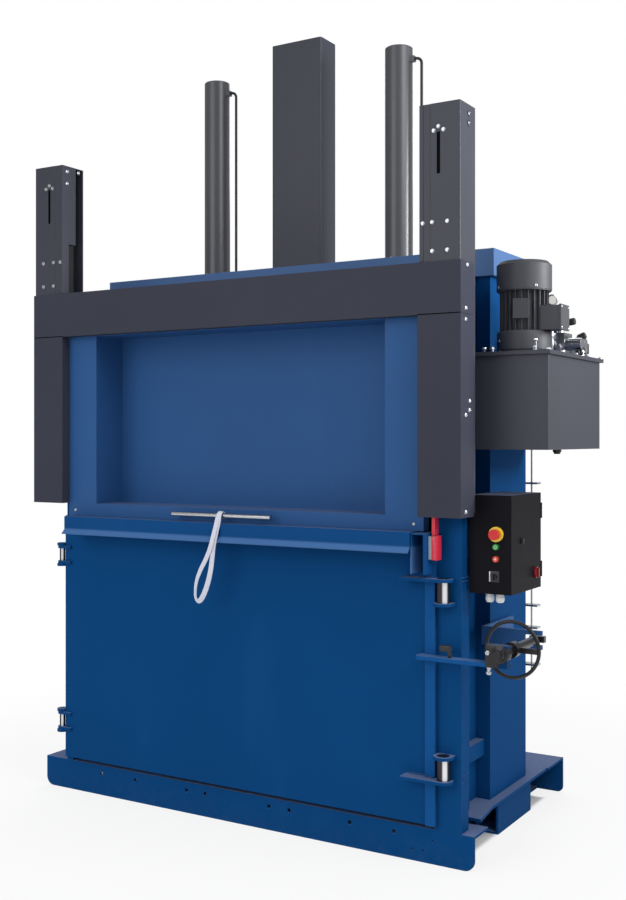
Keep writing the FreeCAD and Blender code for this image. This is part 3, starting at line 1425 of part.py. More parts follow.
def motor():
    core = turned(
        [
            ("0", LID_TOP),
            ("footFlange / 2", LID_TOP),
            ("footFlange / 2", f"{LID_TOP} + flangeHigh"),
            ("motorNeck / 2", f"{LID_TOP} + flangeHigh + neckHigh"),
            ("motorBody / 2", "finLow - neckEnd"),
            ("motorBody / 2", "cowlLow - shoulder"),
            ("cowlSize / 2 - cowlSheet - fit", "cowlLow - shoulder + shoulderHigh"),
            ("cowlSize / 2 - cowlSheet - fit", "cowlLow + cowlLap"),
            ("0", "cowlLow + cowlLap"),
        ]
    )
    fin = pad(
        core,
        "XY",
        box_points(("motorBody / 2 - finRoot", "motorFin / 2"), ("-finThick / 2", "finThick / 2")),
        ("finLow", "cowlLow - finShort"),
    )
    around(core, fin, "motorFins")
    for name, text in (("x", "motorX"), ("y", back("motorBack"))):
        bind(core, f"Placement.Base.{name}", text)
    mount = block(
        ("motorX + motorBody / 2 - padRoot", "padOut"),
        (back("boxNear + padSide"), back("boxFar - padSide")),
        ("boxBase + padEnd", "boxTop - padEnd"),
    )
    notch = block(
        ("padOut", "boxRight"),
        (back("boxNear - padClear"), back("boxFar + padClear")),
        ("boxBase - padClear", "boxTop + padClear"),
    )
    node("motor", cut(fuse(core, mount), notch))


def motor_cowl():
    cowl = turned(
        [
            ("cowlSize / 2 - cowlSheet", "cowlLow"),
            ("cowlSize / 2", "cowlLow"),
            ("cowlSize / 2", "cowlTop - cowlBevel"),
            ("cowlSize / 2 - cowlBevel", "cowlTop"),
            ("0", "cowlTop"),
            ("0", "cowlTop - cowlSheet"),
            ("cowlSize / 2 - cowlBevel - cowlSheet / 2", "cowlTop - cowlSheet"),
            ("cowlSize / 2 - cowlSheet", "cowlTop - cowlBevel - cowlSheet / 2"),
        ]
    )
    slot = trim(
        cowl,
        "XY",
        box_points(("airInner", "airOuter"), ("-airWide / 2", "airWide / 2")),
        ("cowlTop - 2 * cowlSheet", "cowlTop + 1"),
    )
    around(cowl, slot, "cowlSlots")
    for name, text in (("x", "motorX"), ("y", back("motorBack"))):
        bind(cowl, f"Placement.Base.{name}", text)
    node("motor_cowl", cowl)


def terminal_box():
    body = block(("padOut", "boxRight - terminalLid"), (back("boxNear"), back("boxFar")), ("boxBase", "boxTop"))
    lid = block(
        ("boxRight - terminalLid", "boxRight"),
        (back("boxNear - terminalEdge"), back("boxFar + terminalEdge")),
        ("boxBase - terminalEdge", "boxTop + terminalEdge"),
    )
    node("terminal_box", fuse(body, lid))


def valve_block():
    top = f"{LID_TOP} + valveHigh"
    depth = (back("valveBack"), back("valveBack + valveDeep"))
    body = block(("valveX", "valveX + valveWide"), depth, (LID_TOP, top))
    reach = ("valveX + valveWide", "valveX + valveWide + coilLong")
    coils = [
        bar("x", (back(f"valveBack + valveDeep / 2 {sign} coilPitch / 2"), f"{top} - coil"), "coil / 2", reach)
        for sign in "-+"
    ]
    cap = bar("z", ("valveX + valveWide / 2", back("valveBack + valveDeep / 2")), "coil / 2", (top, f"{top} + coil"))
    node("valve_block", fuse(body, *coils, cap))


def filler_cap():
    centre = ("fillerX", back("fillerBack"))
    neck = bar("z", centre, "fillerNeck / 2", (LID_TOP, f"{LID_TOP} + fillerHigh / 2"))
    cap = bar("z", centre, "fillerWide / 2", (f"{LID_TOP} + fillerHigh / 3", f"{LID_TOP} + fillerHigh"))
    node("filler_cap", fuse(neck, cap))


def side_brackets():
    rack = block(("columnOut", "tankLeft"), (back("columnFront"), back("tankBack")), ("tankLow", "tankHigh"))
    depth = (back("stiffBack - bracketHigh - plate"), back("stiffBack - plate"))
    arms = [
        tube(("ribOut", "boxLeft"), depth, (low, f"{low} + bracketHigh"), "x", "wall")
        for low in ("panelLow + bracketHigh", "panelHigh - 2 * bracketHigh")
    ]
    node("side_brackets", fuse(rack, *arms))


def side_rod():
    rod = bar("z", ("rodX", back("rodBack")), "rodThick / 2", ("rodLow", "rodHigh"))
    depth = (back("rodBack - rodPlateDeep / 2"), back("rodBack + rodPlateDeep / 2"))
    plates = [
        block(("chamberHalf + plate", "rodPlateOut"), depth, (level, f"{level} + rodPlateThick"))
        for level in ("rodPlateLow", "rodPlateMiddle", "rodPlateHigh", "rodPlateTop")
    ]
    node("side_rod", fuse(rod, *plates))


# ---- controls ----

DOOR_INNER = "(boxSide - doorPlate)"
PANEL_AXIS = ("(boxSide - doorPlate / 2)", back("panelBack + knuckleOut"))


def front_hole(centre, size):
    return bar("y", centre, size, (back("panelFront - 1"), back("panelFront + panelSheet + 1")))


def button_places():
    return {
        "stop_button": ("buttonX", "stopHigh"),
        "start_button": ("buttonX", "startHigh"),
        "reset_button": ("buttonX", "resetHigh"),
        "key_selector": ("keyX", "keyHigh"),
    }


def knuckles(levels, tab_x):
    pieces = []
    for low in levels:
        z = (low, f"{low} + knuckleLong")
        pieces.append(bar("z", PANEL_AXIS, "knuckle / 2", z))
        pieces.append(block(tab_x, (back("panelBack"), PANEL_AXIS[1]), z))
    return pieces


def hinge_bore(size):
    return bar("z", PANEL_AXIS, size, ("panelLow", "panelHigh"))


def control_box():
    depth, height = (back("panelFront"), back("panelBack")), ("panelLow", "panelHigh")
    outer = block(("boxLeft", f"{DOOR_INNER} - fit"), depth, height)
    inner = block(
        ("boxLeft + panelSheet", "boxSide"),
        (back("panelFront + panelSheet"), back("panelBack - panelSheet")),
        ("panelLow + panelSheet", "panelHigh - panelSheet"),
    )
    shell = cut(outer, inner, *[front_hole(place, "stem / 2 + runFit") for place in button_places().values()])
    levels = ["panelLow + knuckleIn", "panelHigh - knuckleIn - knuckleLong"]
    fixed = knuckles(levels, (f"{DOOR_INNER} - tabLong", "boxSide - doorPlate / 2"))
    gap = (back("panelBack - 1"), back("panelBack + knuckleGap"))
    clear = block((f"{DOOR_INNER} - fit", "boxSide + 1"), gap, height)
    pins = [
        bar("z", PANEL_AXIS, "knuckle / 4", (low, f"{low} + 2 * knuckleLong"))
        for low in ("panelLow + knuckleIn", "panelHigh - knuckleIn - 2 * knuckleLong")
    ]
    node("control_box", fuse(cut(fuse(shell, *fixed), clear), *pins))


def control_door():
    panel = block((DOOR_INNER, "boxSide"), (back("panelFront"), back("panelBack")), ("panelLow", "panelHigh"))
    levels = ["panelLow + knuckleIn + knuckleLong + knuckleGap", "panelHigh - knuckleIn - 2 * knuckleLong - knuckleGap"]
    moving = knuckles(levels, (DOOR_INNER, "boxSide"))
    holes = [
        bar("x", (back(deep), high), "stem / 2 + runFit", (f"{DOOR_INNER} - 1", "boxSide + 1"))
        for deep, high in (("lockDeep", "lockZ"), ("switchDeep", "switchZ"))
    ]
    node("control_door", cut(fuse(panel, *moving), hinge_bore("knuckle / 4 + runFit"), *holes))


def mounting_plate():
    depth = (back("panelFront + boardInset"), back("panelBack - boardInset"))
    height = ("panelLow + boardInset", "panelHigh - boardInset")
    face = "boxLeft + panelSheet + plate"
    board = block(("boxLeft + panelSheet", face), depth, height)
    devices = [
        block(
            (face, f"{face} + {kind}Deep"),
            (f"{depth[0]} + {start}", f"{depth[0]} + {start} + {kind}Wide"),
            (f"panelLow + {kind}Up", f"panelLow + {kind}Up + {kind}Tall"),
        )
        for kind, start in (
            ("breaker", "deviceIn"),
            ("breaker", "deviceIn + breakerPitch"),
            ("relay", "relayIn"),
            ("clamps", "deviceIn"),
        )
    ]
    node("mounting_plate", fuse(board, *devices))


def stop_collar():
    place = button_places()["stop_button"]
    ring = bar("y", place, "stopRing / 2", (back("panelFront - ringHigh"), back("panelFront")))
    hole = bar("y", place, "stem / 2 + runFit", (back("panelFront - ringHigh - 1"), back("panelFront + 1")))
    node("stop_collar", cut(ring, hole))


def push_button(label, head, high, lift):
    place = button_places()[label]
    face = f"panelFront - ({lift})"
    stem = bar("y", place, "stem / 2", (back(face), back("panelFront + stemLong")))
    cap = bar("y", place, f"{head} / 2", (back(f"{face} - {high}"), back(face)))
    return fuse(stem, cap)


def buttons():
    node("stop_button", push_button("stop_button", "mushroom", "mushroomHigh", "ringHigh + press + fit"))
    node("start_button", push_button("start_button", "button", "buttonHigh", "press + fit"))
    node("reset_button", push_button("reset_button", "button", "buttonHigh", "press + fit"))
    selector = push_button("key_selector", "button", "buttonHigh", "fit")
    x, z = button_places()["key_selector"]
    face = "panelFront - fit - buttonHigh"
    grip = block(
        (f"{x} - keyGripWide / 2", f"{x} + keyGripWide / 2"),
        (back(f"{face} - keyGripDeep"), back(face)),
        (f"{z} - keyGripLong / 2", f"{z} + keyGripLong / 2"),
    )
    node("key_selector", fuse(selector, grip))


def side_knobs():
    for label, deep, high, size, thick in (
        ("control_lock", "lockDeep", "lockZ", "lockSize", "0.5 * knobHigh"),
        ("main_switch", "switchDeep", "switchZ", "switchSize", "knobHigh"),
    ):
        centre = (back(deep), high)
        stem = bar("x", centre, "stem / 2", (f"{DOOR_INNER} - dialStem", "boxSide + fit"))
        dial = bar("x", centre, f"{size} / 2", ("boxSide + fit", f"boxSide + fit + {thick}"))
        grip = block(
            (f"boxSide + fit + {thick}", f"boxSide + fit + 2 * {thick}"),
            (back(f"{deep} - gripWide / 2"), back(f"{deep} + gripWide / 2")),
            (f"{high} - 0.4 * {size}", f"{high} + 0.4 * {size}"),
        )
        node(label, fuse(stem, dial, grip))


def interlock():
    depth = (back("guardFront"), back("guardFront + guardDeep"))
    switch = block(("guardX", "guardX + guardWide"), depth, ("guardLow", "guardHigh"))
    node("interlock_switch", switch)
    tongue = block(
        ("guardX + keyInner", "guardX + guardWide - keyOuter"),
        (back("guardFront + keyDeep"), back("guardFront + guardDeep - keyDeep")),
        ("guardHigh + keyGap", "towerLow"),
    )
    node("interlock_key", tongue)


for build in (
    base_front_beam,
    base_rear_beam,
    base_feet,
    floor_plate,
    side_walls,
    back_wall,
    columns,
    crosshead,
    posts,
    towers,
    cover,
    gate_panel,
    gate_handle,
    gate_shoes,
    pull_strap,
    counterweights,
    door_panel,
    door_edge_bar,
    door_ledge,
    hinge_lugs,
    door_pins,
    door_hinge_plates,
    latch_arm,
    wheel_spindle,
    hand_wheel,
    latch_keeper,
    cylinders,
    cylinder_pipes,
    mast_guide,
    platen,
    piston_rods,
    mast,
    tank,
    motor,
    motor_cowl,
    terminal_box,
    valve_block,
    filler_cap,
    side_brackets,
    side_rod,
    control_box,
    control_door,
    mounting_plate,
    stop_collar,
    buttons,
    side_knobs,
    interlock,
):
    build()

doc.recompute()
for thing in doc.Objects:
    if {"Invalid", "Error"} & set(thing.State):
        raise RuntimeError(f"{thing.Label} failed: {thing.State}")
os.makedirs("parts", exist_ok=True)
for label, thing in nodes.items():
    shape = thing.Shape
    if shape.isNull() or not shape.isValid() or not shape.Solids:
        raise RuntimeError(f"{label} has no valid solid")
    shape.exportStep(f"parts/{label}.step")
    print(f"{label:20s} solids {len(shape.Solids)} volume {shape.Volume / 1e6:9.3f} dm3")
print(len(nodes), "pieces")
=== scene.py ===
import math

import bmesh
import bpy
from mathutils import Matrix, Vector


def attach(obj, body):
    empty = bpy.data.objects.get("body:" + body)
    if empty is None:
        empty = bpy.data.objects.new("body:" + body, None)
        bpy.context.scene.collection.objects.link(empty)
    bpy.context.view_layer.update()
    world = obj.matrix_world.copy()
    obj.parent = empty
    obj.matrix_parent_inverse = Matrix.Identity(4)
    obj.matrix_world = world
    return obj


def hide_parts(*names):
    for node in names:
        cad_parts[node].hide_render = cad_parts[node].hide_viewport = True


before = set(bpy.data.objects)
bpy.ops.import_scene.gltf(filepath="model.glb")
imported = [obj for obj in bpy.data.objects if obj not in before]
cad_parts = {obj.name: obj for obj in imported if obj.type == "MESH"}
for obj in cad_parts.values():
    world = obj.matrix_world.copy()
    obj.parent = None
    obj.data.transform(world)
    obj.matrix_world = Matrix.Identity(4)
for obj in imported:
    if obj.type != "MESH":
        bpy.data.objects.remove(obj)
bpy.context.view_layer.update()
scene = bpy.context.scene
scene.view_settings.view_transform = "Standard"
print("frame loaded:", len(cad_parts), "nodes")

pressDepth = 542  # from the base's front face back to the press axis, in millimetres


def spot(across, depth, height):
    # millimetres across, behind the base's front face and above the floor
    return Vector((across / 1000, (depth - pressDepth) / 1000, height / 1000))


# camera, as the photograph was taken
viewpoint = {
    "place": (2.783, -4.522, 1.615),
    "turn": 31.156,
    "lens": 46.18,
    "shift": -0.0129,
}
cameraData = bpy.data.cameras.new("camera")
cameraData.lens = viewpoint["lens"]
cameraData.shift_y = viewpoint["shift"]
camera = bpy.data.objects.new("camera", cameraData)
camera.location = viewpoint["place"]
camera.rotation_euler = (math.radians(90), 0, math.radians(viewpoint["turn"]))
scene.collection.objects.link(camera)
scene.camera = camera


def linear(red, green, blue):
    # a screen colour from 0 to 255 as Blender's linear colour
    tones = []
    for tone in (red, green, blue):
        tone /= 255
        tones.append(tone / 12.92 if tone <= 0.04045 else ((tone + 0.055) / 1.055) ** 2.4)
    return (*tones, 1)


def scaled(colour, share):
    return (*[min(1, tone * share) for tone in colour[:3]], 1)


class Link:
    # one shader value; sums written with it become Math nodes
    def __init__(self, finish, socket):
        self.finish = finish
        self.socket = socket

    def maths(self, operation, *others):
        return self.finish.node("Math", {"operation": operation}, dict(enumerate((self, *others))))

    def __add__(self, other):
        return self.maths("ADD", other)

    def __radd__(self, other):
        return self.maths("ADD", other)

    def __sub__(self, other):
        return self.maths("SUBTRACT", other)

    def __rsub__(self, other):
        return self.finish.node("Math", {"operation": "SUBTRACT"}, {0: other, 1: self})

    def __mul__(self, other):
        return self.maths("MULTIPLY", other)

    def __rmul__(self, other):
        return self.maths("MULTIPLY", other)

    def __pow__(self, other):
        return self.maths("POWER", other)


class Finish:
    # one material, built node by node
    def __init__(self, name, tree=None):
        if tree is None:
            self.material = bpy.data.materials.new(name)
            self.material.use_nodes = True
            tree = self.material.node_tree
        self.tree = tree
        self.tree.nodes.clear()

    def node(self, kind, settings, sockets, output=0):
        unit = self.tree.nodes.new("ShaderNode" + kind)
        for name, value in settings.items():
            setattr(unit, name, value)
        for name, value in sockets.items():
            if isinstance(value, Link):
                self.tree.links.new(value.socket, unit.inputs[name])
            else:
                unit.inputs[name].default_value = value
        return Link(self, unit.outputs[output]) if len(unit.outputs) else None

    def places(self, stretch=(1, 1, 1)):
        # metres on the piece at rest
        here = self.node("TexCoord", {}, {}, "Object")
        if stretch == (1, 1, 1):
            return here
        return self.node("Mapping", {}, {"Vector": here, "Scale": stretch})

    def along(self, axis):
        # one coordinate of those places, by its letter
        return self.node("SeparateXYZ", {}, {"Vector": self.places()}, axis)

    def noise(self, scale, detail=2, stretch=(1, 1, 1)):
        return self.node("TexNoise", {}, {"Vector": self.places(stretch), "Scale": scale, "Detail": detail})

    def ray(self, kind):
        # 1 for light rays of one kind, 0 for all others
        return self.node("LightPath", {}, {}, "Is " + kind + " Ray")

    def between(self, value, low, high):
        # 0 below low, 1 above high, smooth between
        return self.node(
            "MapRange",
            {"interpolation_type": "SMOOTHSTEP"},
            {"Value": value, "From Min": low, "From Max": high},
        )

    def blend(self, share, first, second):
        return self.node("Mix", {"data_type": "RGBA"}, {0: share, 6: first, 7: second}, 2)

    def soft(self, radius):
        # the surface's normal with its edges rounded
        return self.node("Bevel", {"samples": 4}, {"Radius": radius})

    def facing(self, way):
        # 1 where the surface looks that way, 0 where it stands square to it
        normal = self.node("NewGeometry", {}, {}, "Normal")
        return self.node("VectorMath", {"operation": "DOT_PRODUCT"}, {0: normal, 1: way}, "Value")

    def bump(self, height, depth, normal=None):
        sockets = {"Height": height, "Distance": depth, "Strength": 1}
        if normal is not None:
            sockets["Normal"] = normal
        return self.node("Bump", {}, sockets)

    def surface(self, sockets):
        shader = self.node("BsdfPrincipled", {}, sockets)
        self.node("OutputMaterial", {}, {"Surface": shader})
        return self.material


# paints: what each one looks like, with lengths in metres; what an entry leaves out is as in plainPaint
# each paint's dust share also sets the painted sheen on its faces that look up
plainPaint = {"rough": 0.48, "shine": 0.03, "sheenAndDustShare": 0.16, "grain": 420, "depth": 0.00006, "edge": 0.0035}
# each paint's worn tone serves both rubbed paint and the painted highlight along its edges
paints = {
    "frameBlue": {
        "tone": linear(12, 64, 115),
        "wornAndHighlight": linear(62, 110, 164),
        "sheenAndDustShare": 0.34,
        "rough": 0.5,
        "shine": 0.012,
    },
    # the gate's blue: the frame's blue painted lighter, a painted highlight on the gate panel and the latch
    # keeper
    "litGateBlue": {
        "tone": linear(41, 80, 130),
        "wornAndHighlight": linear(84, 122, 168),
        "shine": 0.1,
    },
    # the ledge's blue, whose lower lip is painted lighter as a painted highlight
    "ledgeBlue": {
        "tone": linear(15, 66, 118),
        "wornAndHighlight": linear(60, 104, 156),
        "end": 0.878,
        "lip": 1.212,
        "lipTone": linear(66, 104, 154),
    },
    # the edge bar's blue: the frame's blue painted lighter, a painted highlight along the door's edge bar
    "litEdgeBlue": {
        "tone": linear(19, 76, 134),
        "wornAndHighlight": linear(74, 122, 176),
    },
    # the latch arm's blue: painted lighter as a painted highlight, with painted shade over its right end
    "litArmBlue": {
        "tone": linear(19, 76, 134),
        "wornAndHighlight": linear(74, 122, 176),
        "end": 1.2,
        "endTone": linear(9, 50, 92),
    },
    # the crosshead's blue: the frame's blue painted lighter and greyer, a painted highlight where light falls
    # from above
    "litCrossBlue": {
        "tone": linear(69, 98, 142),
        "wornAndHighlight": linear(104, 130, 172),
        "shine": 0.12,
    },
    "coverDark": {
        "tone": linear(55, 57, 69),
        "wornAndHighlight": linear(92, 94, 106),
        "rough": 0.46,
        "shine": 0.05,
        "grain": 700,
        "depth": 0.00007,
    },
    "tankDark": {
        "tone": linear(55, 57, 67),
        "wornAndHighlight": linear(100, 101, 112),
        "rough": 0.4,
        "shine": 0.26,
        "grain": 700,
        "depth": 0.00007,
    },
    "tubeDark": {
        "tone": linear(68, 69, 74),
        "wornAndHighlight": linear(100, 101, 112),
        "rough": 0.3,
        "shine": 0.45,
        "grain": 700,
        "depth": 0.00005,
    },
    "boxBlack": {
        "tone": linear(19, 18, 23),
        "wornAndHighlight": linear(58, 58, 66),
        "rough": 0.44,
        "shine": 0.05,
        "grain": 900,
        "depth": 0.0001,
        "edge": 0.002,
    },
    "wheelBlack": {
        "tone": linear(24, 24, 27),
        "wornAndHighlight": linear(60, 60, 66),
        "rough": 0.3,
        "shine": 0.4,
        "grain": 300,
        "depth": 0.00005,
        "edge": 0.0015,
    },
    "matteBlack": {
        "tone": linear(9, 9, 11),
        "wornAndHighlight": linear(20, 20, 23),
        "rough": 0.7,
        "shine": 0.02,
        "grain": 900,
        "depth": 0.00005,
        "edge": 0.001,
    },
    "motorGrey": {
        "tone": linear(65, 66, 72),
        "wornAndHighlight": linear(94, 95, 102),
        "rough": 0.5,
        "shine": 0.3,
        "grain": 240,
        "depth": 0.00025,
        "edge": 0.0015,
    },
}

# wear that all paints share: each pattern's scale, where it starts and is full, how much shows, and dust with
# a painted sheen on the faces that look up
wear = {
    "clouds": {"scale": 1.6, "dark": 0.9, "light": 1.12},
    "streaks": {"scale": 5, "from": 0.56, "full": 0.78, "shows": 0.04},
    # touches: how strongly the worn tone and the painted edge highlight show along the edges
    "touches": {"scale": 38, "from": 0.3, "full": 0.62, "shows": 0.5},
    "edges": {"from": 0.02, "full": 0.28},
    "floorDust": {"tone": linear(128, 124, 116), "top": 0.12, "from": 0.4, "full": 0.8, "shows": 0.04},
    "topFaceDustAndSheen": {"tone": linear(140, 150, 180), "from": 0.75, "full": 0.98, "uneven": 0.2},
    "seam": 0.004,
}


def painted(name, ownLook):
    look = plainPaint | ownLook
    finish = Finish(name)
    rounded = finish.soft(look["edge"])
    edge = finish.between(1 - finish.facing(rounded), wear["edges"]["from"], wear["edges"]["full"])
    clouds = finish.noise(wear["clouds"]["scale"], 3)
    streaks = finish.noise(wear["streaks"]["scale"], 4, (1, 1, 0.25))
    touches = finish.noise(wear["touches"]["scale"], 4)
    dark, light = (scaled(look["tone"], wear["clouds"][share]) for share in ("dark", "light"))
    tone = finish.blend(clouds, dark, light)
    rubbed = finish.between(streaks, wear["streaks"]["from"], wear["streaks"]["full"])
    tone = finish.blend(rubbed * wear["streaks"]["shows"], tone, look["wornAndHighlight"])
    if "end" in look:
        # the piece's right end: painted shade over the latch arm's end, and the ledge's end bracket, which
        # its lip's painted highlight leaves out
        atEnd = finish.between(finish.along("X"), look["end"] - wear["seam"], look["end"])
    if "lip" in look:
        # the ledge's lower edge gets a painted highlight, its end bracket doesn't
        full, none = look["lip"] - 2 * wear["seam"], look["lip"] + wear["seam"]
        litLip = 1 - finish.between(finish.along("Z"), full, none)
        tone = finish.blend((1 - atEnd) * litLip, tone, look["lipTone"])
    # painted shade over the latch arm's right end
    if "endTone" in look:
        tone = finish.blend(atEnd, tone, look["endTone"])
    # a little floor dust on the lowest hand's breadth
    floorDust = wear["floorDust"]
    low = 1 - finish.between(finish.along("Z"), 0, floorDust["top"])
    patchy = finish.between(touches, floorDust["from"], floorDust["full"])
    tone = finish.blend(low * patchy * floorDust["shows"], tone, floorDust["tone"])
    # and on the faces that look up, paler dust together with a painted sheen from the light above
    topFaceDustAndSheen = wear["topFaceDustAndSheen"]
    level = finish.between(finish.facing((0, 0, 1)), topFaceDustAndSheen["from"], topFaceDustAndSheen["full"])
    tone = finish.blend(level * (touches * topFaceDustAndSheen["uneven"] + look["sheenAndDustShare"]), tone, topFaceDustAndSheen["tone"])
    # patches of worn tone along the edges: worn paint, and a painted highlight on the edges
    edgeWearAndHighlight = finish.between(touches, wear["touches"]["from"], wear["touches"]["full"])
    tone = finish.blend(edge * edgeWearAndHighlight * wear["touches"]["shows"], tone, look["wornAndHighlight"])
    return finish.surface({
        "Base Color": tone,
        "Roughness": look["rough"] - 0.06 + touches * 0.07 + clouds * 0.06,
        "Specular IOR Level": look["shine"],
        "Normal": finish.bump(finish.noise(look["grain"]), look["depth"], rounded),
    })


metals = {
    "brightSteel": {"tone": linear(196, 199, 204), "rough": 0.24, "lines": (1, 1, 60), "depth": 0.00002},
    "zinc": {"tone": linear(206, 209, 212), "rough": 0.3, "lines": (1, 1, 1), "depth": 0.00004},
    "chromeRod": {"tone": linear(214, 217, 222), "rough": 0.08, "lines": (1, 1, 24), "depth": 0.000004},
    "boltSteel": {"tone": linear(212, 214, 220), "rough": 0.34, "lines": (1, 1, 1), "depth": 0.00003},
    "dullSteel": {"tone": linear(122, 124, 130), "rough": 0.34, "lines": (1, 1, 1), "depth": 0.00003},
}
metalGrain = {"clouds": 60, "lines": 90, "dark": 0.84, "uneven": 0.12, "edge": 0.0012}


def metal(name, look):
    finish = Finish(name)
    clouds = finish.noise(metalGrain["clouds"], 3)
    lines = finish.noise(metalGrain["lines"], 3, look["lines"])
    return finish.surface({
        "Base Color": finish.blend(clouds, scaled(look["tone"], metalGrain["dark"]), look["tone"]),
        "Metallic": 1,
        "Roughness": look["rough"] - 0.05 + lines * metalGrain["uneven"],
        "Normal": finish.bump(lines, look["depth"], finish.soft(metalGrain["edge"])),
    })


# the pin's dark steel, and the painted highlight on the side that faces one way
pinLook = {
    "dark": scaled(linear(58, 54, 58), 0.9),
    "paintedHighlight": linear(236, 236, 240),
    "way": (0.62, -0.78, 0),
    "from": 0.86,
    "full": 0.985,
    "lines": (1, 1, 24),
    "depth": 0.00001,
    "edge": 0.001,
}


def pinSteel():
    # a dark turned rod with a painted highlight down one side, where its surface faces one way
    finish = Finish("pinSteel")
    paintedHighlight = finish.between(finish.facing(pinLook["way"]), pinLook["from"], pinLook["full"])
    lines = finish.noise(metalGrain["lines"], 3, pinLook["lines"])
    return finish.surface({
        "Base Color": finish.blend(paintedHighlight, pinLook["dark"], pinLook["paintedHighlight"]),
        "Metallic": 0.75,
        "Roughness": 0.3 + lines * metalGrain["uneven"],
        "Normal": finish.bump(lines, pinLook["depth"], finish.soft(pinLook["edge"])),
    })


plastics = {
    "redPlastic": {"tone": linear(196, 28, 30), "rough": 0.28},
    "darkRed": {"tone": linear(120, 24, 30), "rough": 0.3},
    "switchRed": {"tone": linear(206, 40, 62), "rough": 0.34},
    "switchGrey": {"tone": linear(168, 176, 178), "rough": 0.4},
    "yellowPlastic": {"tone": linear(240, 204, 60), "rough": 0.32},
    "greenPlastic": {"tone": linear(26, 140, 64), "rough": 0.3},
    "orangePlastic": {"tone": linear(206, 64, 44), "rough": 0.3},
    "blackPlastic": {"tone": linear(30, 30, 33), "rough": 0.42},
    "paleRing": {"tone": linear(176, 206, 182), "rough": 0.34},
    "glandWhite": {"tone": linear(222, 224, 226), "rough": 0.36},
    "dialFace": {"tone": linear(232, 232, 226), "rough": 0.4},
}
plasticGrain = {"clouds": 140, "dark": 0.92, "light": 1.05, "grain": 1500, "depth": 0.00002, "edge": 0.001}


def plastic(name, look):
    finish = Finish(name)
    clouds = finish.noise(plasticGrain["clouds"], 3)
    dark, light = (scaled(look["tone"], plasticGrain[share]) for share in ("dark", "light"))
    grain = finish.noise(plasticGrain["grain"], 1)
    return finish.surface({
        "Base Color": finish.blend(clouds, dark, light),
        "Roughness": look["rough"] - 0.04 + clouds * 0.1,
        "Normal": finish.bump(grain, plasticGrain["depth"], finish.soft(plasticGrain["edge"])),
    })


castLook = {
    "tone": linear(20, 20, 23),
    "rust": linear(52, 42, 38),
    "rustScale": 14,
    "rustShows": 0.45,
    "grain": 160,
    "depth": 0.0009,
}


def castIron():
    finish = Finish("castIron")
    pits = finish.noise(castLook["grain"], 5)
    rust = finish.between(finish.noise(castLook["rustScale"], 4), 0.58, 0.74) * castLook["rustShows"]
    return finish.surface({
        "Base Color": finish.blend(rust, castLook["tone"], castLook["rust"]),
        "Roughness": 0.6 + pits * 0.2,
        "Normal": finish.bump(pits, castLook["depth"]),
    })


webbingLook = {
    "thread": linear(228, 230, 241),
    "gap": linear(170, 172, 190),
    "dark": 0.78,
    "pitch": 0.0026,
    "depth": 0.0005,
    "selvedge": (0.0083, 0.0092),
}


def webbing():
    finish = Finish("webbing")
    along = finish.node("TexCoord", {}, {}, "UV")
    across = finish.node("SeparateXYZ", {}, {"Vector": along}, "X")
    length = finish.node("SeparateXYZ", {}, {"Vector": along}, "Y")
    turn = 2 * math.pi / webbingLook["pitch"]
    # two sets of threads cross on the slant
    left = (across * turn + length * turn).maths("SINE")
    right = (across * turn - length * turn).maths("SINE")
    ribs = left * right * 0.5 + 0.5
    fluff = finish.noise(900, 3)
    selvedge = finish.between(across * across, *[away ** 2 for away in webbingLook["selvedge"]])
    tone = finish.blend(ribs, webbingLook["gap"], webbingLook["thread"])
    tone = finish.blend(finish.noise(26, 3) * 0.3, tone, scaled(webbingLook["thread"], webbingLook["dark"]))
    return finish.surface({
        "Base Color": tone,
        "Roughness": 0.72 + fluff * 0.16,
        "Sheen Weight": 0.25,
        "Normal": finish.bump(ribs * 0.7 + fluff * 0.3 + selvedge * 0.6, webbingLook["depth"]),
    })


finishes = {name: painted(name, look) for name, look in paints.items()}
finishes.update({name: metal(name, look) for name, look in metals.items()})
finishes.update({name: plastic(name, look) for name, look in plastics.items()})
finishes["castIron"] = castIron()
finishes["pinSteel"] = pinSteel()
finishes["webbing"] = webbing()
print("finishes made:", len(finishes))

# and which of the part's pieces wear them; all others are frameBlue
nodeFinish = {
    "coverDark": ("cover_header", "cover_leg_left", "cover_leg_right"),
    "tankDark": ("tower_left", "tower_right", "mast", "tank", "tank_lid"),
    "tubeDark": ("cylinder_left", "cylinder_right"),
    "litGateBlue": ("gate_panel", "latch_keeper"),
    "ledgeBlue": ("door_ledge",),
    "litCrossBlue": ("crosshead",),
    "litEdgeBlue": ("door_edge_bar",),
    "litArmBlue": ("latch_arm",),
    "boxBlack": ("control_box", "control_door"),
    "wheelBlack": ("hand_wheel", "wheel_spindle", "cylinder_pipes"),
    "motorGrey": ("motor", "motor_cowl", "terminal_box"),
    "brightSteel": ("gate_handle", "valve_block"),
    "pinSteel": ("door_pins",),
    "zinc": ("mounting_plate", "side_rod"),
    "switchGrey": ("interlock_switch",),
    "chromeRod": ("piston_rods",),
    "redPlastic": ("stop_button",),
    "switchRed": ("interlock_key",),
    "darkRed": ("main_switch",),
    "yellowPlastic": ("stop_collar",),
    "greenPlastic": ("start_button",),
    "orangePlastic": ("reset_button",),
    "blackPlastic": ("gate_shoes", "key_selector", "control_lock", "filler_cap"),
    "castIron": ("counterweights",),
}
finishOfNode = {node: name for name, owners in nodeFinish.items() for node in owners}
for node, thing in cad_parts.items():
    for holder in thing.material_slots:
        holder.material = finishes[finishOfNode.get(node, "frameBlue")]
print("frame pieces painted")


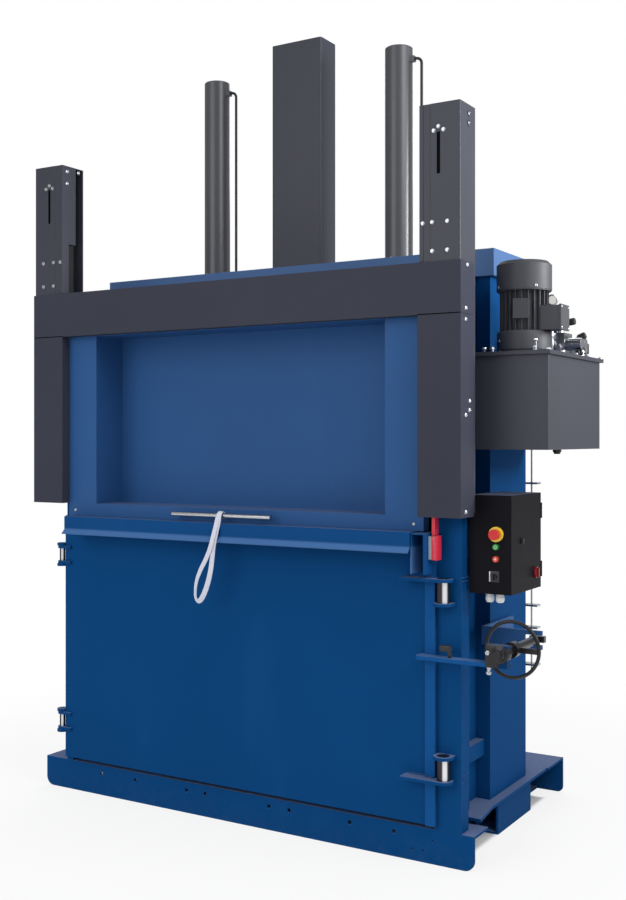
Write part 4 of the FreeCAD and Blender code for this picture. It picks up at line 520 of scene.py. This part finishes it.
def finished(name, mesh, body, finish, smooth=True):
    # turns a bmesh into a piece that rides on a body
    bmesh.ops.recalc_face_normals(mesh, faces=mesh.faces)
    data = bpy.data.meshes.new(name)
    mesh.to_mesh(data)
    mesh.free()
    data.materials.append(finishes[finish])
    piece = bpy.data.objects.new(name, data)
    scene.collection.objects.link(piece)
    if smooth:
        for face in data.polygons:
            face.use_smooth = True
        data.set_sharp_from_angle(angle=math.radians(32))
    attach(piece, body)
    return piece


def aimed(place, direction, turn=0.0):
    # a stand at a place whose Z axis points along a direction
    aim = Vector((0, 0, 1)).rotation_difference(Vector(direction)).to_matrix().to_4x4()
    return Matrix.Translation(place) @ aim @ Matrix.Rotation(turn, 4, "Z")


def joinRings(mesh, rings, sides):
    # faces between each ring and the next, where a ring may be one point
    for lower, upper in zip(rings, rings[1:]):
        for step in range(sides):
            ahead = (step + 1) % sides
            corners = [lower[step % len(lower)], lower[ahead % len(lower)]]
            corners += [upper[ahead % len(upper)], upper[step % len(upper)]]
            corners = list(dict.fromkeys(corners))
            if len(corners) > 2:
                mesh.faces.new(corners)


def turnedForm(mesh, outline, sides, stand):
    # an outline of (radius, height) in millimetres, turned round a stand's Z axis
    rings = []
    for radius, high in outline:
        ring = []
        for step in range(sides if radius else 1):
            turn = 2 * math.pi * step / sides
            corner = (radius * math.cos(turn) / 1000, radius * math.sin(turn) / 1000, high / 1000)
            ring.append(mesh.verts.new(stand @ Vector(corner)))
        rings.append(ring)
    joinRings(mesh, rings, sides)


def boxForm(mesh, low, high, soften=0.0):
    # a block between two corners, with its edges taken off
    made = bmesh.ops.create_cube(mesh, size=1)["verts"]
    for vertex in made:
        for axis in range(3):
            vertex.co[axis] = low[axis] if vertex.co[axis] < 0 else high[axis]
    if soften:
        sides = {edge for vertex in made for edge in vertex.link_edges}
        bmesh.ops.bevel(mesh, geom=list(sides), offset=soften, segments=2, profile=0.5, affect="EDGES")


# heads of the fasteners, for a thread one millimetre thick
hexHead = {
    "washer": [(0, 0), (1.18, 0), (1.22, 0.04), (1.22, 0.14), (1.16, 0.19), (0, 0.19)],
    "head": [(0, 0.19), (0.97, 0.19), (0.97, 0.72), (0.86, 0.84), (0.5, 0.86), (0, 0.8)],
}
domeHead = [
    (0, 0.16), (0.42, 0.16), (0.45, 0.5), (0.55, 0.56), (0.78, 0.5),
    (0.97, 0.34), (1.05, 0.12), (1.05, 0), (0, 0),
]


def grown(outline, size):
    return [(radius * size, high * size) for radius, high in outline]


def fasteners(name, kind, size, places, direction, body="frame", finish="boltSteel"):
    mesh = bmesh.new()
    for count, place in enumerate(places):
        stand = aimed(spot(*place), direction, count * 0.65 + 0.2)  # each is turned a little further
        if kind == "hex":
            turnedForm(mesh, grown(hexHead["washer"], size), 20, stand)
            turnedForm(mesh, grown(hexHead["head"], size), 6, stand)
        else:
            turnedForm(mesh, grown(domeHead, size), 18, stand)
    return finished(name, mesh, body, finish)


def fitted(name, outline, sides, place, direction, finish, body="frame"):
    mesh = bmesh.new()
    turnedForm(mesh, outline, sides, aimed(spot(*place), direction))
    return finished(name, mesh, body, finish)


def blocks(name, forms, finish, body="frame", smooth=True):
    # one piece from blocks: two corners of each and what its edges lose, in millimetres
    mesh = bmesh.new()
    for low, high, soften in forms:
        boxForm(mesh, spot(*low), spot(*high), soften / 1000)
    return finished(name, mesh, body, finish, smooth)


def circle(centre, level, radius, count):
    # places on a level circle, the first half a step round
    places = []
    for step in range(count):
        turn = 2 * math.pi * (step + 0.5) / count
        places.append((centre[0] + radius * math.cos(turn), centre[1] + radius * math.sin(turn), level))
    return places


bothSides = {"Right": 1, "Left": -1}
forward, upward, downward = (0, -1, 0), (0, 0, 1), (0, 0, -1)

# the pull strap: the part's own route, drawn closer round the bar and with the strands one behind the other
strapLook = {
    "width": 0.021,
    "thick": 0.0028,
    "twist": 24,
    "lens": [(-1, 0), (-0.96, 0.7), (-0.6, 1), (0, 1.08), (0.6, 1), (0.96, 0.7)],
}
strapRoute = [
    (-17, -77.8, 1284), (-17, -77.8, 1308.4), (-17, -102.2, 1308.4), (-17, -117.5, 1264),
    (-22, -133, 1213), (-32, -139.5, 1164), (-54, -141, 1116), (-82, -142, 1070),
    (-103, -142, 1022), (-109, -141, 975), (-105, -141.5, 950), (-91, -142, 939),
    (-76, -141, 951), (-60, -139, 981), (-43, -138, 1026), (-31, -136, 1078),
    (-26, -134, 1129), (-22, -132, 1172), (-15, -128, 1217), (-11, -113, 1264),
    (-10, -106.0, 1312.2), (-10, -74.0, 1312.2), (-10, -74.0, 1284),
]


def splineLine(name, points):
    # the smooth line of a NURBS spline through its control points
    curve = bpy.data.curves.new(name, "CURVE")
    curve.dimensions = "3D"
    curve.resolution_u = 12
    spline = curve.splines.new("NURBS")
    spline.points.add(len(points) - 1)
    for control, point in zip(spline.points, points):
        control.co = (*spot(*point), 1)
    spline.order_u = 3
    spline.use_endpoint_u = True
    holder = bpy.data.objects.new(name, curve)
    scene.collection.objects.link(holder)
    bpy.context.view_layer.update()
    data = bpy.data.meshes.new_from_object(holder)
    line = [vertex.co.copy() for vertex in data.vertices]
    bpy.data.objects.remove(holder)
    bpy.data.meshes.remove(data)
    return line


def pullStrap():
    line = splineLine("strapLine", strapRoute)
    lengths = [0.0]
    for before, after in zip(line, line[1:]):
        lengths.append(lengths[-1] + (after - before).length)
    mesh = bmesh.new()
    weave = mesh.loops.layers.uv.new("weave")
    half, thick = strapLook["width"] / 2, strapLook["thick"] / 2
    # the section is a flat lens, from one selvedge round to the other
    section = [(turn * half * x, turn * thick * z) for turn in (1, -1) for x, z in strapLook["lens"]]
    rings = []
    side = Vector((1, 0, 0))
    for index, here in enumerate(line):
        ahead = line[min(index + 1, len(line) - 1)] - line[max(index - 1, 0)]
        ahead.normalize()
        side = (side - ahead * side.dot(ahead)).normalized()
        outward = side.cross(ahead)
        share = lengths[index] / lengths[-1]
        # the loop turns a little to and fro where it hangs free
        lean = math.radians(strapLook["twist"]) * math.sin(math.pi * share) ** 4
        lean *= math.cos(math.pi * share * 2)
        across = side * math.cos(lean) + outward * math.sin(lean)
        flat = across.cross(ahead)
        rings.append([mesh.verts.new(here + across * x + flat * z) for x, z in section])
    for index, (lower, upper) in enumerate(zip(rings, rings[1:])):
        for step in range(len(section)):
            beside = (step + 1) % len(section)
            face = mesh.faces.new([lower[step], lower[beside], upper[beside], upper[step]])
            corners = [(step, 0), (beside, 0), (beside, 1), (step, 1)]
            for loop, (place, ring) in zip(face.loops, corners):
                loop[weave].uv = (section[place][0], lengths[index + ring])
    for ring in (rings[0], rings[-1]):
        face = mesh.faces.new(ring)
        for loop in face.loops:
            loop[weave].uv = (0, 0)
    piece = finished("pullStrap", mesh, "gate", "webbing")
    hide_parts("pull_strap")
    print("strap length", round(lengths[-1], 3))


pullStrap()
print("strap hung")

# screws of the dark cover, seen on its two side faces
coverScrews = {
    "size": 9,
    "side": 1065,
    "places": [(-40, 2256), (-54, 2095), (-54, 2054), (-17, 1754), (-20, 1720), (-54, 1701), (-54, 1344)],
}
for name, side in bothSides.items():
    places = [(side * coverScrews["side"], depth, high) for depth, high in coverScrews["places"]]
    fasteners("coverScrews" + name, "dome", coverScrews["size"], places, (side, 0, 0))

# black strips: the joint between the cover's header and each leg, and in each tower's slot a black bar,
# painted shade that stands in for the dark inside the slot
coverJoint = {"low": (890.5, -97.5, 2074), "high": (1064, -94, 2078), "soften": 0.4}
slotShadowBar = {"low": (966.8, -92.3, 2594), "high": (980.6, -88.4, 2748), "soften": 0.4}


def strip(name, side, look):
    # the same strip right (1) and left (-1)
    (inner, near, low), (outer, far, high) = look["low"], look["high"]
    left, right = sorted((side * inner, side * outer))
    blocks(name, [((left, near, low), (right, far, high), look["soften"])], "matteBlack", smooth=False)


for name, side in bothSides.items():
    strip("coverJoint" + name, side, coverJoint)

# towers: a cheek along the inner side, with the guide's opening cut from it
cheek = {
    "inner": 895,
    "outer": 911.6,
    "low": 2272,
    "step": 2500,
    "cap": 2850,
    "high": 2855,
    "front": -90.7,
    "lower": -50,
    "upper": -5,
    "back": 41,
    "end": 46,
}


def sheetForm(mesh, outline, span):
    # a plate across the machine, from its outline in depth and height
    faces = []
    for across in span:
        faces.append([mesh.verts.new(spot(across, depth, high)) for depth, high in outline])
        mesh.faces.new(faces[-1])
    for step, (near, far) in enumerate(zip(*faces)):
        ahead = (step + 1) % len(outline)
        mesh.faces.new([near, faces[0][ahead], faces[1][ahead], far])


def cheekOutline():
    front, back, end = cheek["front"], cheek["back"], cheek["end"]
    return [
        (front, cheek["low"]), (cheek["lower"], cheek["low"]), (cheek["lower"], cheek["step"]),
        (cheek["upper"], cheek["step"]), (cheek["upper"], cheek["cap"]), (back, cheek["cap"]),
        (back, cheek["low"]), (end, cheek["low"]), (end, cheek["high"]), (front, cheek["high"]),
    ]


for name, side in bothSides.items():
    mesh = bmesh.new()
    sheetForm(mesh, cheekOutline(), (side * cheek["inner"], side * cheek["outer"]))
    finished("towerCheek" + name, mesh, "frame", "tankDark", False)
    # the black bar in the tower's slot is painted shade
    strip("slotShadowBar" + name, side, slotShadowBar)

# tower bolts: the guides' rows, the chain anchor's three over its slot, one on the cheek's front edge,
# and those of the outer and inner side faces
towerBolts = {
    "size": 6.5,
    "face": -92.7,
    "rows": [(948, 2416), (1009.5, 2415), (948.5, 2309), (1009.5, 2309)],
    "anchor": [(973.5, 2768), (954.5, 2754), (994, 2754)],
    "cheek": (908.7, -90.7, 2415),
    "outerSize": 11,
    "outerSide": 1060.7,
    "outer": [(-16, 2820), (-16, 2785)],
    "innerSize": 9,
    "innerSide": 895,
    "inner": [(-62, 2829), (-62, 2775), (12, 2836)],
}
for name, side in bothSides.items():
    front = towerBolts["rows"] + towerBolts["anchor"]
    front = [(side * across, towerBolts["face"], high) for across, high in front]
    fasteners("towerBolts" + name, "hex", towerBolts["size"], front, forward)
    across, depth, high = towerBolts["cheek"]
    fasteners("guideBolt" + name, "hex", towerBolts["size"], [(side * across, depth, high)], forward)
    outer = [(side * towerBolts["outerSide"], depth, high) for depth, high in towerBolts["outer"]]
    fasteners(
        "towerSideBolts" + name, "dome", towerBolts["outerSize"], outer, (side, 0, 0), finish="dullSteel",
    )
    inner = [(side * towerBolts["innerSide"], depth, high) for depth, high in towerBolts["inner"]]
    fasteners("towerInnerBolts" + name, "dome", towerBolts["innerSize"], inner, (-side, 0, 0))

# small screws at the gate's lower corners
gateScrews = {"size": 7, "places": [(-852, -50, 1291), (852, -50, 1291)]}
fasteners("gateScrews", "dome", gateScrews["size"], gateScrews["places"], forward, "gate")

# latch: a black cast housing over the yoke, with a round boss, a bright bolt, and a nut and cap under it
yoke = {
    "low": (1149, -74.5, 784),
    "high": (1203, -43, 869),
    "soften": 0.005,
    "bossPlace": (1207, -98, 835),
    "boss": [(16.8, 0), (22, 3), (24, 20), (33, 23), (34, 26), (34, 55), (16.8, 55), (16.8, 0)],
    "boltSize": 9,
    "bolt": (1160, -74.5, 838),
    "nut": (1158, -58, 784),
    "capPlace": (1158, -58, 776),
    "cap": [(0, 0), (6, 0), (6, 8), (9.5, 9), (10, 15), (7, 20), (0, 22)],
}
mesh = bmesh.new()
boxForm(mesh, spot(*yoke["low"]), spot(*yoke["high"]), yoke["soften"])
turnedForm(mesh, yoke["boss"], 40, aimed(spot(*yoke["bossPlace"]), (0, 1, 0)))
finished("yokeHousing", mesh, "door", "wheelBlack")
fasteners("yokeBolt", "dome", yoke["boltSize"], [yoke["bolt"]], forward, "door")
fasteners("yokeNut", "hex", yoke["boltSize"], [yoke["nut"]], downward, "door")
fitted("yokeCap", yoke["cap"], 20, yoke["capPlace"], downward, "boltSteel", "door")

# bolts round the cylinders' flanges and along the mast's collar
flangeBolts = {"size": 6, "across": 489, "circle": 78, "count": 6, "level": 2394}
for name, side in bothSides.items():
    centre = (side * flangeBolts["across"], pressDepth)
    ring = circle(centre, flangeBolts["level"], flangeBolts["circle"], flangeBolts["count"])
    fasteners("flangeBolts" + name, "hex", flangeBolts["size"], ring, upward)
collarBolts = {"size": 6, "across": (-147, 0, 147), "beside": 83, "level": 2394}
collarPlaces = []
for across in collarBolts["across"]:
    for beside in (-collarBolts["beside"], collarBolts["beside"]):
        collarPlaces.append((across, pressDepth + beside, collarBolts["level"]))
fasteners("collarBolts", "dome", collarBolts["size"], collarPlaces, upward)
print("bolts set")

# power unit: the lid's bolts, in two rows from front to back, and three nuts on studs at its front edge
lidBolts = {"size": 9, "left": 1008, "right": 1314, "front": 139, "back": 768, "level": 1945, "count": 5}
lidPlaces = []
for step in range(lidBolts["count"]):
    share = step / (lidBolts["count"] - 1)
    depth = lidBolts["front"] + share * (lidBolts["back"] - lidBolts["front"])
    lidPlaces += [(lidBolts[edge], depth, lidBolts["level"]) for edge in ("left", "right")]
fasteners("lidBolts", "hex", lidBolts["size"], lidPlaces, upward)
frontNuts = {"size": 9, "stud": 10, "places": [(1060, 134, 1955), (1092, 135, 1955), (1258, 138, 1955)]}
fasteners("frontNuts", "hex", frontNuts["size"], frontNuts["places"], upward)

# motor: bolts on long studs round its foot, the smooth shield under the fins, the blank plate on them
# and the cowl's screws
motor = {
    "centre": (1160.5, 294),
    "boltSize": 10,
    "boltCircle": 100,
    "boltLevel": 1988,
    "boltStud": 42,
    "studRadius": 7,
    "shield": [(98, 0), (105.5, 0), (105.5, 61), (103, 69), (98, 73), (98, 0)],
    "shieldLevel": 1957,
    "plateLow": (-0.031, 0.1035, 0),
    "plateHigh": (0.031, 0.1075, 0.076),
    "plateSoften": 0.001,
    "plateLevel": 2073,
    "plateTurn": -166,
    "screwSize": 6,
    "screwCircle": 106.5,
    "screwLevel": 2199,
}
boltPlaces = circle(motor["centre"], motor["boltLevel"], motor["boltCircle"], 4)
mesh = bmesh.new()
for places, deep in ((boltPlaces, motor["boltStud"]), (frontNuts["places"], frontNuts["stud"])):
    stud = [(0, -deep), (motor["studRadius"], -deep), (motor["studRadius"], 0), (0, 0)]
    for place in places:
        turnedForm(mesh, stud, 12, aimed(spot(*place), upward))
finished("motorStuds", mesh, "frame", "dullSteel")
fasteners("motorBolts", "hex", motor["boltSize"], boltPlaces, upward)
fitted("motorShield", motor["shield"], 48, (*motor["centre"], motor["shieldLevel"]), upward, "motorGrey")
mesh = bmesh.new()
boxForm(mesh, motor["plateLow"], motor["plateHigh"], motor["plateSoften"])
stand = aimed(spot(*motor["centre"], motor["plateLevel"]), upward, math.radians(motor["plateTurn"]))
bmesh.ops.transform(mesh, matrix=stand, verts=mesh.verts)
finished("motorPlate", mesh, "frame", "motorGrey", False)
mesh = bmesh.new()
hub = spot(*motor["centre"], motor["screwLevel"])
for place in circle(motor["centre"], motor["screwLevel"], motor["screwCircle"], 4):
    stand = aimed(spot(*place), (spot(*place) - hub).normalized())
    turnedForm(mesh, grown(domeHead, motor["screwSize"]), 16, stand)
finished("cowlScrews", mesh, "frame", "boltSteel")
terminalScrews = {"size": 5, "side": 1325, "depth": (256, 334), "height": (2037, 2117)}
screwPlaces = []
for depth in terminalScrews["depth"]:
    screwPlaces += [(terminalScrews["side"], depth, high) for high in terminalScrews["height"]]
fasteners("terminalScrews", "dome", terminalScrews["size"], screwPlaces, (1, 0, 0))

# fittings of the tank: their forms, then each one's form, sides, place, direction and finish
fittingForms = {
    "stem": [(0, 0), (9, 0), (9, 40), (0, 40)],
    "knob": [(0, 0), (7, 0), (7, 24), (10, 26), (13, 28), (14.5, 32), (14.5, 56), (12, 60), (0, 61)],
    "body": [(0, 0), (24, 0), (24, 34), (16, 40), (16, 52), (0, 52)],
    "union": [(0, 0), (15, 0), (15, 12), (12, 13), (12, 24), (17, 26), (17, 40), (13, 42), (11, 52), (0, 52)],
    "plug": [(0, 0), (17, 0), (17, 10), (13, 12), (13, 18), (0, 19)],
    "tallStem": [(0, 0), (9, 0), (9, 60), (7, 62), (7, 204), (0, 204)],
}
fittings = {
    "reliefStem": ("stem", 20, (1210, 525, 2086), (0.35, 0, 1), "boltSteel"),
    "reliefKnob": ("knob", 24, (1228, 525, 2078), (1, 0, 0.12), "blackPlastic"),
    "throttleKnob": ("knob", 24, (1250, 600, 2012), (1, 0, 0.4), "blackPlastic"),
    "throttleBody": ("body", 6, (1262, 640, 1945), upward, "zinc"),
    "pressureUnion": ("union", 6, (1170, 524, 1985), (-1, 0, 0), "boltSteel"),
    "returnUnion": ("union", 6, (1170, 576, 1985), (-1, 0, 0), "boltSteel"),
    "pumpUnion": ("union", 6, (1100, 420, 1945), upward, "boltSteel"),
    "sidePlug": ("plug", 6, (1230, 500, 1980), forward, "boltSteel"),
    "blockPlug": ("plug", 6, (1200, 500, 2022), forward, "boltSteel"),
    "suctionCap": ("plug", 20, (1300, 521, 1957), (1, 0, 0.2), "blackPlastic"),
    "drainPlug": ("plug", 6, (1256, 400, 1572), downward, "blackPlastic"),
    "gaugeStem": ("tallStem", 20, (1204, 486, 1945), upward, "boltSteel"),
}
for name, (form, sides, place, direction, finish) in fittings.items():
    fitted(name, fittingForms[form], sides, place, direction, finish)

# pressure gauge on the tall stem behind the motor, with a plain dial
gauge = {"rim": 22, "place": (1204, 492, 2168), "dial": (1213, 466.5, 2168), "aim": (0.35, -1, 0)}
rim = gauge["rim"]
gaugeCase = [
    (0, 0), (rim - 2, 0), (rim, 3), (rim, 20), (rim + 2, 21),
    (rim + 2, 27), (rim - 3, 29), (rim - 4, 25), (0, 25),
]
gaugeDial = [(0, 0), (rim - 5, 0), (rim - 5, 1), (0, 1)]
fitted("gaugeCase", gaugeCase, 36, gauge["place"], gauge["aim"], "boltSteel")
fitted("gaugeDial", gaugeDial, 36, gauge["dial"], gauge["aim"], "dialFace")
print("power unit dressed")

# two pale cable glands under the control box, each a six-sided nut and a twelve-sided cap
glands = {
    "level": 1034,
    "places": [(1100, 95), (1141, 95)],
    "nut": [(0, 0), (17, 0), (17, 7), (15, 8), (0, 8)],
    "cap": [(0, 8), (15, 8), (15, 13), (16.5, 14), (16.5, 27), (13, 35), (8, 37), (8, 33), (0, 33)],
}
mesh = bmesh.new()
for across, depth in glands["places"]:
    stand = aimed(spot(across, depth, glands["level"]), downward)
    turnedForm(mesh, glands["nut"], 6, stand)
    turnedForm(mesh, glands["cap"], 12, stand)
finished("cableGlands", mesh, "frame", "glandWhite")

# front of the control box: pale marks on two buttons, their bezels, and a plate with a bright bar at the key
controls = {
    "front": 48,
    "buttonFace": 34.7,
    "row": 1145.5,
    "start": 1211,
    "reset": 1166,
    "ring": [(3.8, 0), (4.1, 0.5), (5.9, 0.5), (6.2, 0), (3.8, 0)],
    "upright": (2.2, 12, 0.5),
    "crossbar": (10, 2.2, 0.4),
    "bezel": [(12, 0), (12, 2.4), (13.2, 3.2), (14.4, 2.4), (14.8, 0), (12, 0)],
    "key": (1136, 1100),
    "keyPlate": (42, 42, 1.6),
    "keyBar": (5, 38, 1.8),
    "keyBarOff": -16.5,
    "soften": 0.6,
}


def plateOn(face, across, high, size, soften=0.0):
    # a small plate of some width, height and thickness, laid on a face
    width, tall, thick = size
    low = (across - width / 2, face - thick, high - tall / 2)
    return low, (across + width / 2, face, high + tall / 2), soften


row, face = controls["row"], controls["buttonFace"]
fitted("startMark", controls["ring"], 32, (row, face, controls["start"]), forward, "paleRing", "start_button")
cross = [plateOn(face, row, controls["reset"], controls[bar]) for bar in ("upright", "crossbar")]
blocks("resetMark", cross, "dialFace", "reset_button", False)
for name in ("start", "reset"):
    place = (row, controls["front"], controls[name])
    fitted(name + "Bezel", controls["bezel"], 36, place, forward, "blackPlastic")
across, high = controls["key"]
keyFace = controls["front"] - controls["keyPlate"][2]
keyPlate = plateOn(controls["front"], across, high, controls["keyPlate"], controls["soften"])
keyBar = plateOn(keyFace, across + controls["keyBarOff"], high, controls["keyBar"], controls["soften"])
blocks("keyPlate", [keyPlate], "blackPlastic")
blocks("keyBar", [keyBar], "boltSteel")
print("control box dressed")

# door switch: red plates on its right side and its front
switchPlates = [((952, -75, 1160), (957, -27, 1252), 1), ((939, -80, 1162), (952.5, -77.5, 1250), 0.8)]
blocks("switchPlate", switchPlates, "switchRed", "door")

# black spring catch that stands on the latch arm
catch = [((962, -60, 822), (1006, -42, 846), 3), ((994, -57, 800), (1006, -45, 830), 2)]
blocks("armCatch", catch, "blackPlastic", "door")

# weld beads where plates meet
weldLook = {"radius": 0.0032, "pitch": 0.0046, "ripple": 0.16, "corners": 8}


def weld(mesh, start, end):
    # a round rippled bead, thinner at both ends
    run = end - start
    count = max(4, int(run.length / weldLook["pitch"] * 3))
    corners = weldLook["corners"]
    stand = aimed(start, run.normalized())
    rings = []
    for step in range(count + 1):
        along = run.length * step / count
        ripple = 1 + weldLook["ripple"] * math.sin(along / weldLook["pitch"] * 2 * math.pi)
        close = min(1, 0.35 + 6 * min(step, count - step) / count)
        size = weldLook["radius"] * ripple * close
        turns = [2 * math.pi * corner / corners for corner in range(corners)]
        rings.append([
            mesh.verts.new(stand @ Vector((size * math.cos(turn), size * math.sin(turn), along)))
            for turn in turns
        ])
    joinRings(mesh, rings, corners)
    mesh.faces.new(rings[0])
    mesh.faces.new(rings[-1])


def seams(name, runs, body):
    mesh = bmesh.new()
    for start, end in runs:
        weld(mesh, spot(*start), spot(*end))
    finished(name, mesh, body, "frameBlue")


# the door's seams: on its panel and its edge bar over and under the hooks' plates, at the latch arm,
# and in stitches beside the edge bar and along the panel's top
doorSeams = {
    "panel": (802, 883, -13),
    "edge": (887, 925, -23),
    "hooks": (323, 337, 1077, 1091),
    "arm": (776, 793),
    "stitch": 70,
    "stitchPlace": (884, -13),
    "stitches": range(170, 1230, 150),
    "top": 90,
    "topPlace": (-13, 1259),
    "topStitches": range(-860, 900, 190),
}


def levelSeam(place, level):
    left, right, depth = place
    return (left, depth, level), (right, depth, level)


doorRuns = []
for level in doorSeams["hooks"]:
    doorRuns += [levelSeam(doorSeams["panel"], level), levelSeam(doorSeams["edge"], level)]
doorRuns += [levelSeam(doorSeams["edge"], level) for level in doorSeams["arm"]]
across, depth = doorSeams["stitchPlace"]
for low in doorSeams["stitches"]:
    doorRuns.append(((across, depth, low), (across, depth, low + doorSeams["stitch"])))
depth, level = doorSeams["topPlace"]
doorRuns += [levelSeam((left, left + doorSeams["top"], depth), level) for left in doorSeams["topStitches"]]
seams("doorWelds", doorRuns, "door")

# the frame's seams run back: beside the pins on the right post, at the posts' feet, and where the columns
# meet the crosshead
pinSeams = {"across": 1026, "length": 58, "starts": (2,), "levels": (323, 349, 1077, 1091)}
footSeams = {"across": 951, "length": 50, "starts": (4, 76), "levels": (134,)}
columnSeams = {"across": 986, "length": 60, "starts": (380, 500, 620), "levels": (2271,)}


def backSeams(side, look):
    across = side * look["across"]
    places = [(start, level) for level in look["levels"] for start in look["starts"]]
    return [((across, start, level), (across, start + look["length"], level)) for start, level in places]


frameRuns = backSeams(1, pinSeams)
for side in (-1, 1):
    frameRuns += backSeams(side, footSeams) + backSeams(side, columnSeams)
seams("frameWelds", frameRuns, "frame")
print("welds laid")

# floor, white surroundings and lamps
stageLook = {
    "floor": linear(238, 238, 238),
    "showThrough": 0.8,
    "fill": 0.71,
    "gloss": 0.35,
    "half": 14,
    "near": 1.5,
    "far": 3.0,
    "under": (1.0, 0.47),
    "underEdge": 0.03,
}
floorMesh = bpy.data.meshes.new("floor")
reach = stageLook["half"]
floorCorners = [(-reach, -reach, 0), (reach, -reach, 0), (reach, reach, 0), (-reach, reach, 0)]
floorMesh.from_pydata(floorCorners, [], [(0, 1, 2, 3)])
floor = bpy.data.objects.new("floor", floorMesh)
scene.collection.objects.link(floor)
ground = Finish("floorFinish")
lit = ground.node("BsdfDiffuse", {}, {"Color": stageLook["floor"]})
white = ground.node("Emission", {}, {"Color": (1, 1, 1, 1), "Strength": 1})
across, depth = ground.along("X").maths("ABSOLUTE"), ground.along("Y").maths("ABSOLUTE")
distance = (across * across + depth * depth) ** 0.5
away = ground.between(distance, stageLook["near"], stageLook["far"])
halfWidth, halfDepth = stageLook["under"]
besideX = ground.between(across, halfWidth - stageLook["underEdge"], halfWidth)
besideY = ground.between(depth, halfDepth - stageLook["underEdge"], halfDepth)
shows = (ground.ray("Camera") + ground.ray("Glossy") + ground.ray("Transmission")).maths("MINIMUM", 1)
clear = stageLook["showThrough"] + away * (1 - stageLook["showThrough"])
share = shows * clear * besideX.maths("MAXIMUM", besideY)
mixed = ground.node("MixShader", {}, {0: share, 1: lit, 2: white})
ground.node("OutputMaterial", {}, {"Surface": mixed})
floorMesh.materials.append(ground.material)

world = bpy.data.worlds.new("surroundings")
scene.world = world
world.use_nodes = True
sky = Finish("surroundings", world.node_tree)
shows = (sky.ray("Camera") + sky.ray("Transmission")).maths("MINIMUM", 1)
fill = stageLook["fill"] + sky.ray("Glossy") * (stageLook["gloss"] - stageLook["fill"])
strength = fill + shows * (1 - fill)
glow = sky.node("Background", {}, {"Color": (1, 1, 1, 1), "Strength": strength})
sky.node("OutputWorld", {}, {"Surface": glow})

lamps = {
    "keyRight": {"place": (4.4, -1.6, 4.6), "aim": (0.6, 0, 2.0), "size": 2.6, "power": 110},
    "sideHigh": {"place": (4.5, 0.9, 3.0), "aim": (1.06, -0.3, 2.6), "size": 1.4, "power": 26, "spread": 60},
    "fillFront": {"place": (-1.6, -6.4, 3.6), "aim": (0, 0, 1.4), "size": 4.2, "power": 132},
    "rimBack": {"place": (-1.5, 5.0, 5.4), "aim": (0, 0, 1.6), "size": 3.4, "power": 110},
}
for name, lamp in lamps.items():
    data = bpy.data.lights.new(name, "AREA")
    data.size = lamp["size"]
    data.energy = lamp["power"]
    data.spread = math.radians(lamp.get("spread", 180))
    thing = bpy.data.objects.new(name, data)
    thing.location = lamp["place"]
    thing.rotation_euler = (Vector(lamp["aim"]) - Vector(lamp["place"])).to_track_quat("-Z", "Y").to_euler()
    scene.collection.objects.link(thing)
print("floor, surroundings and lamps set")
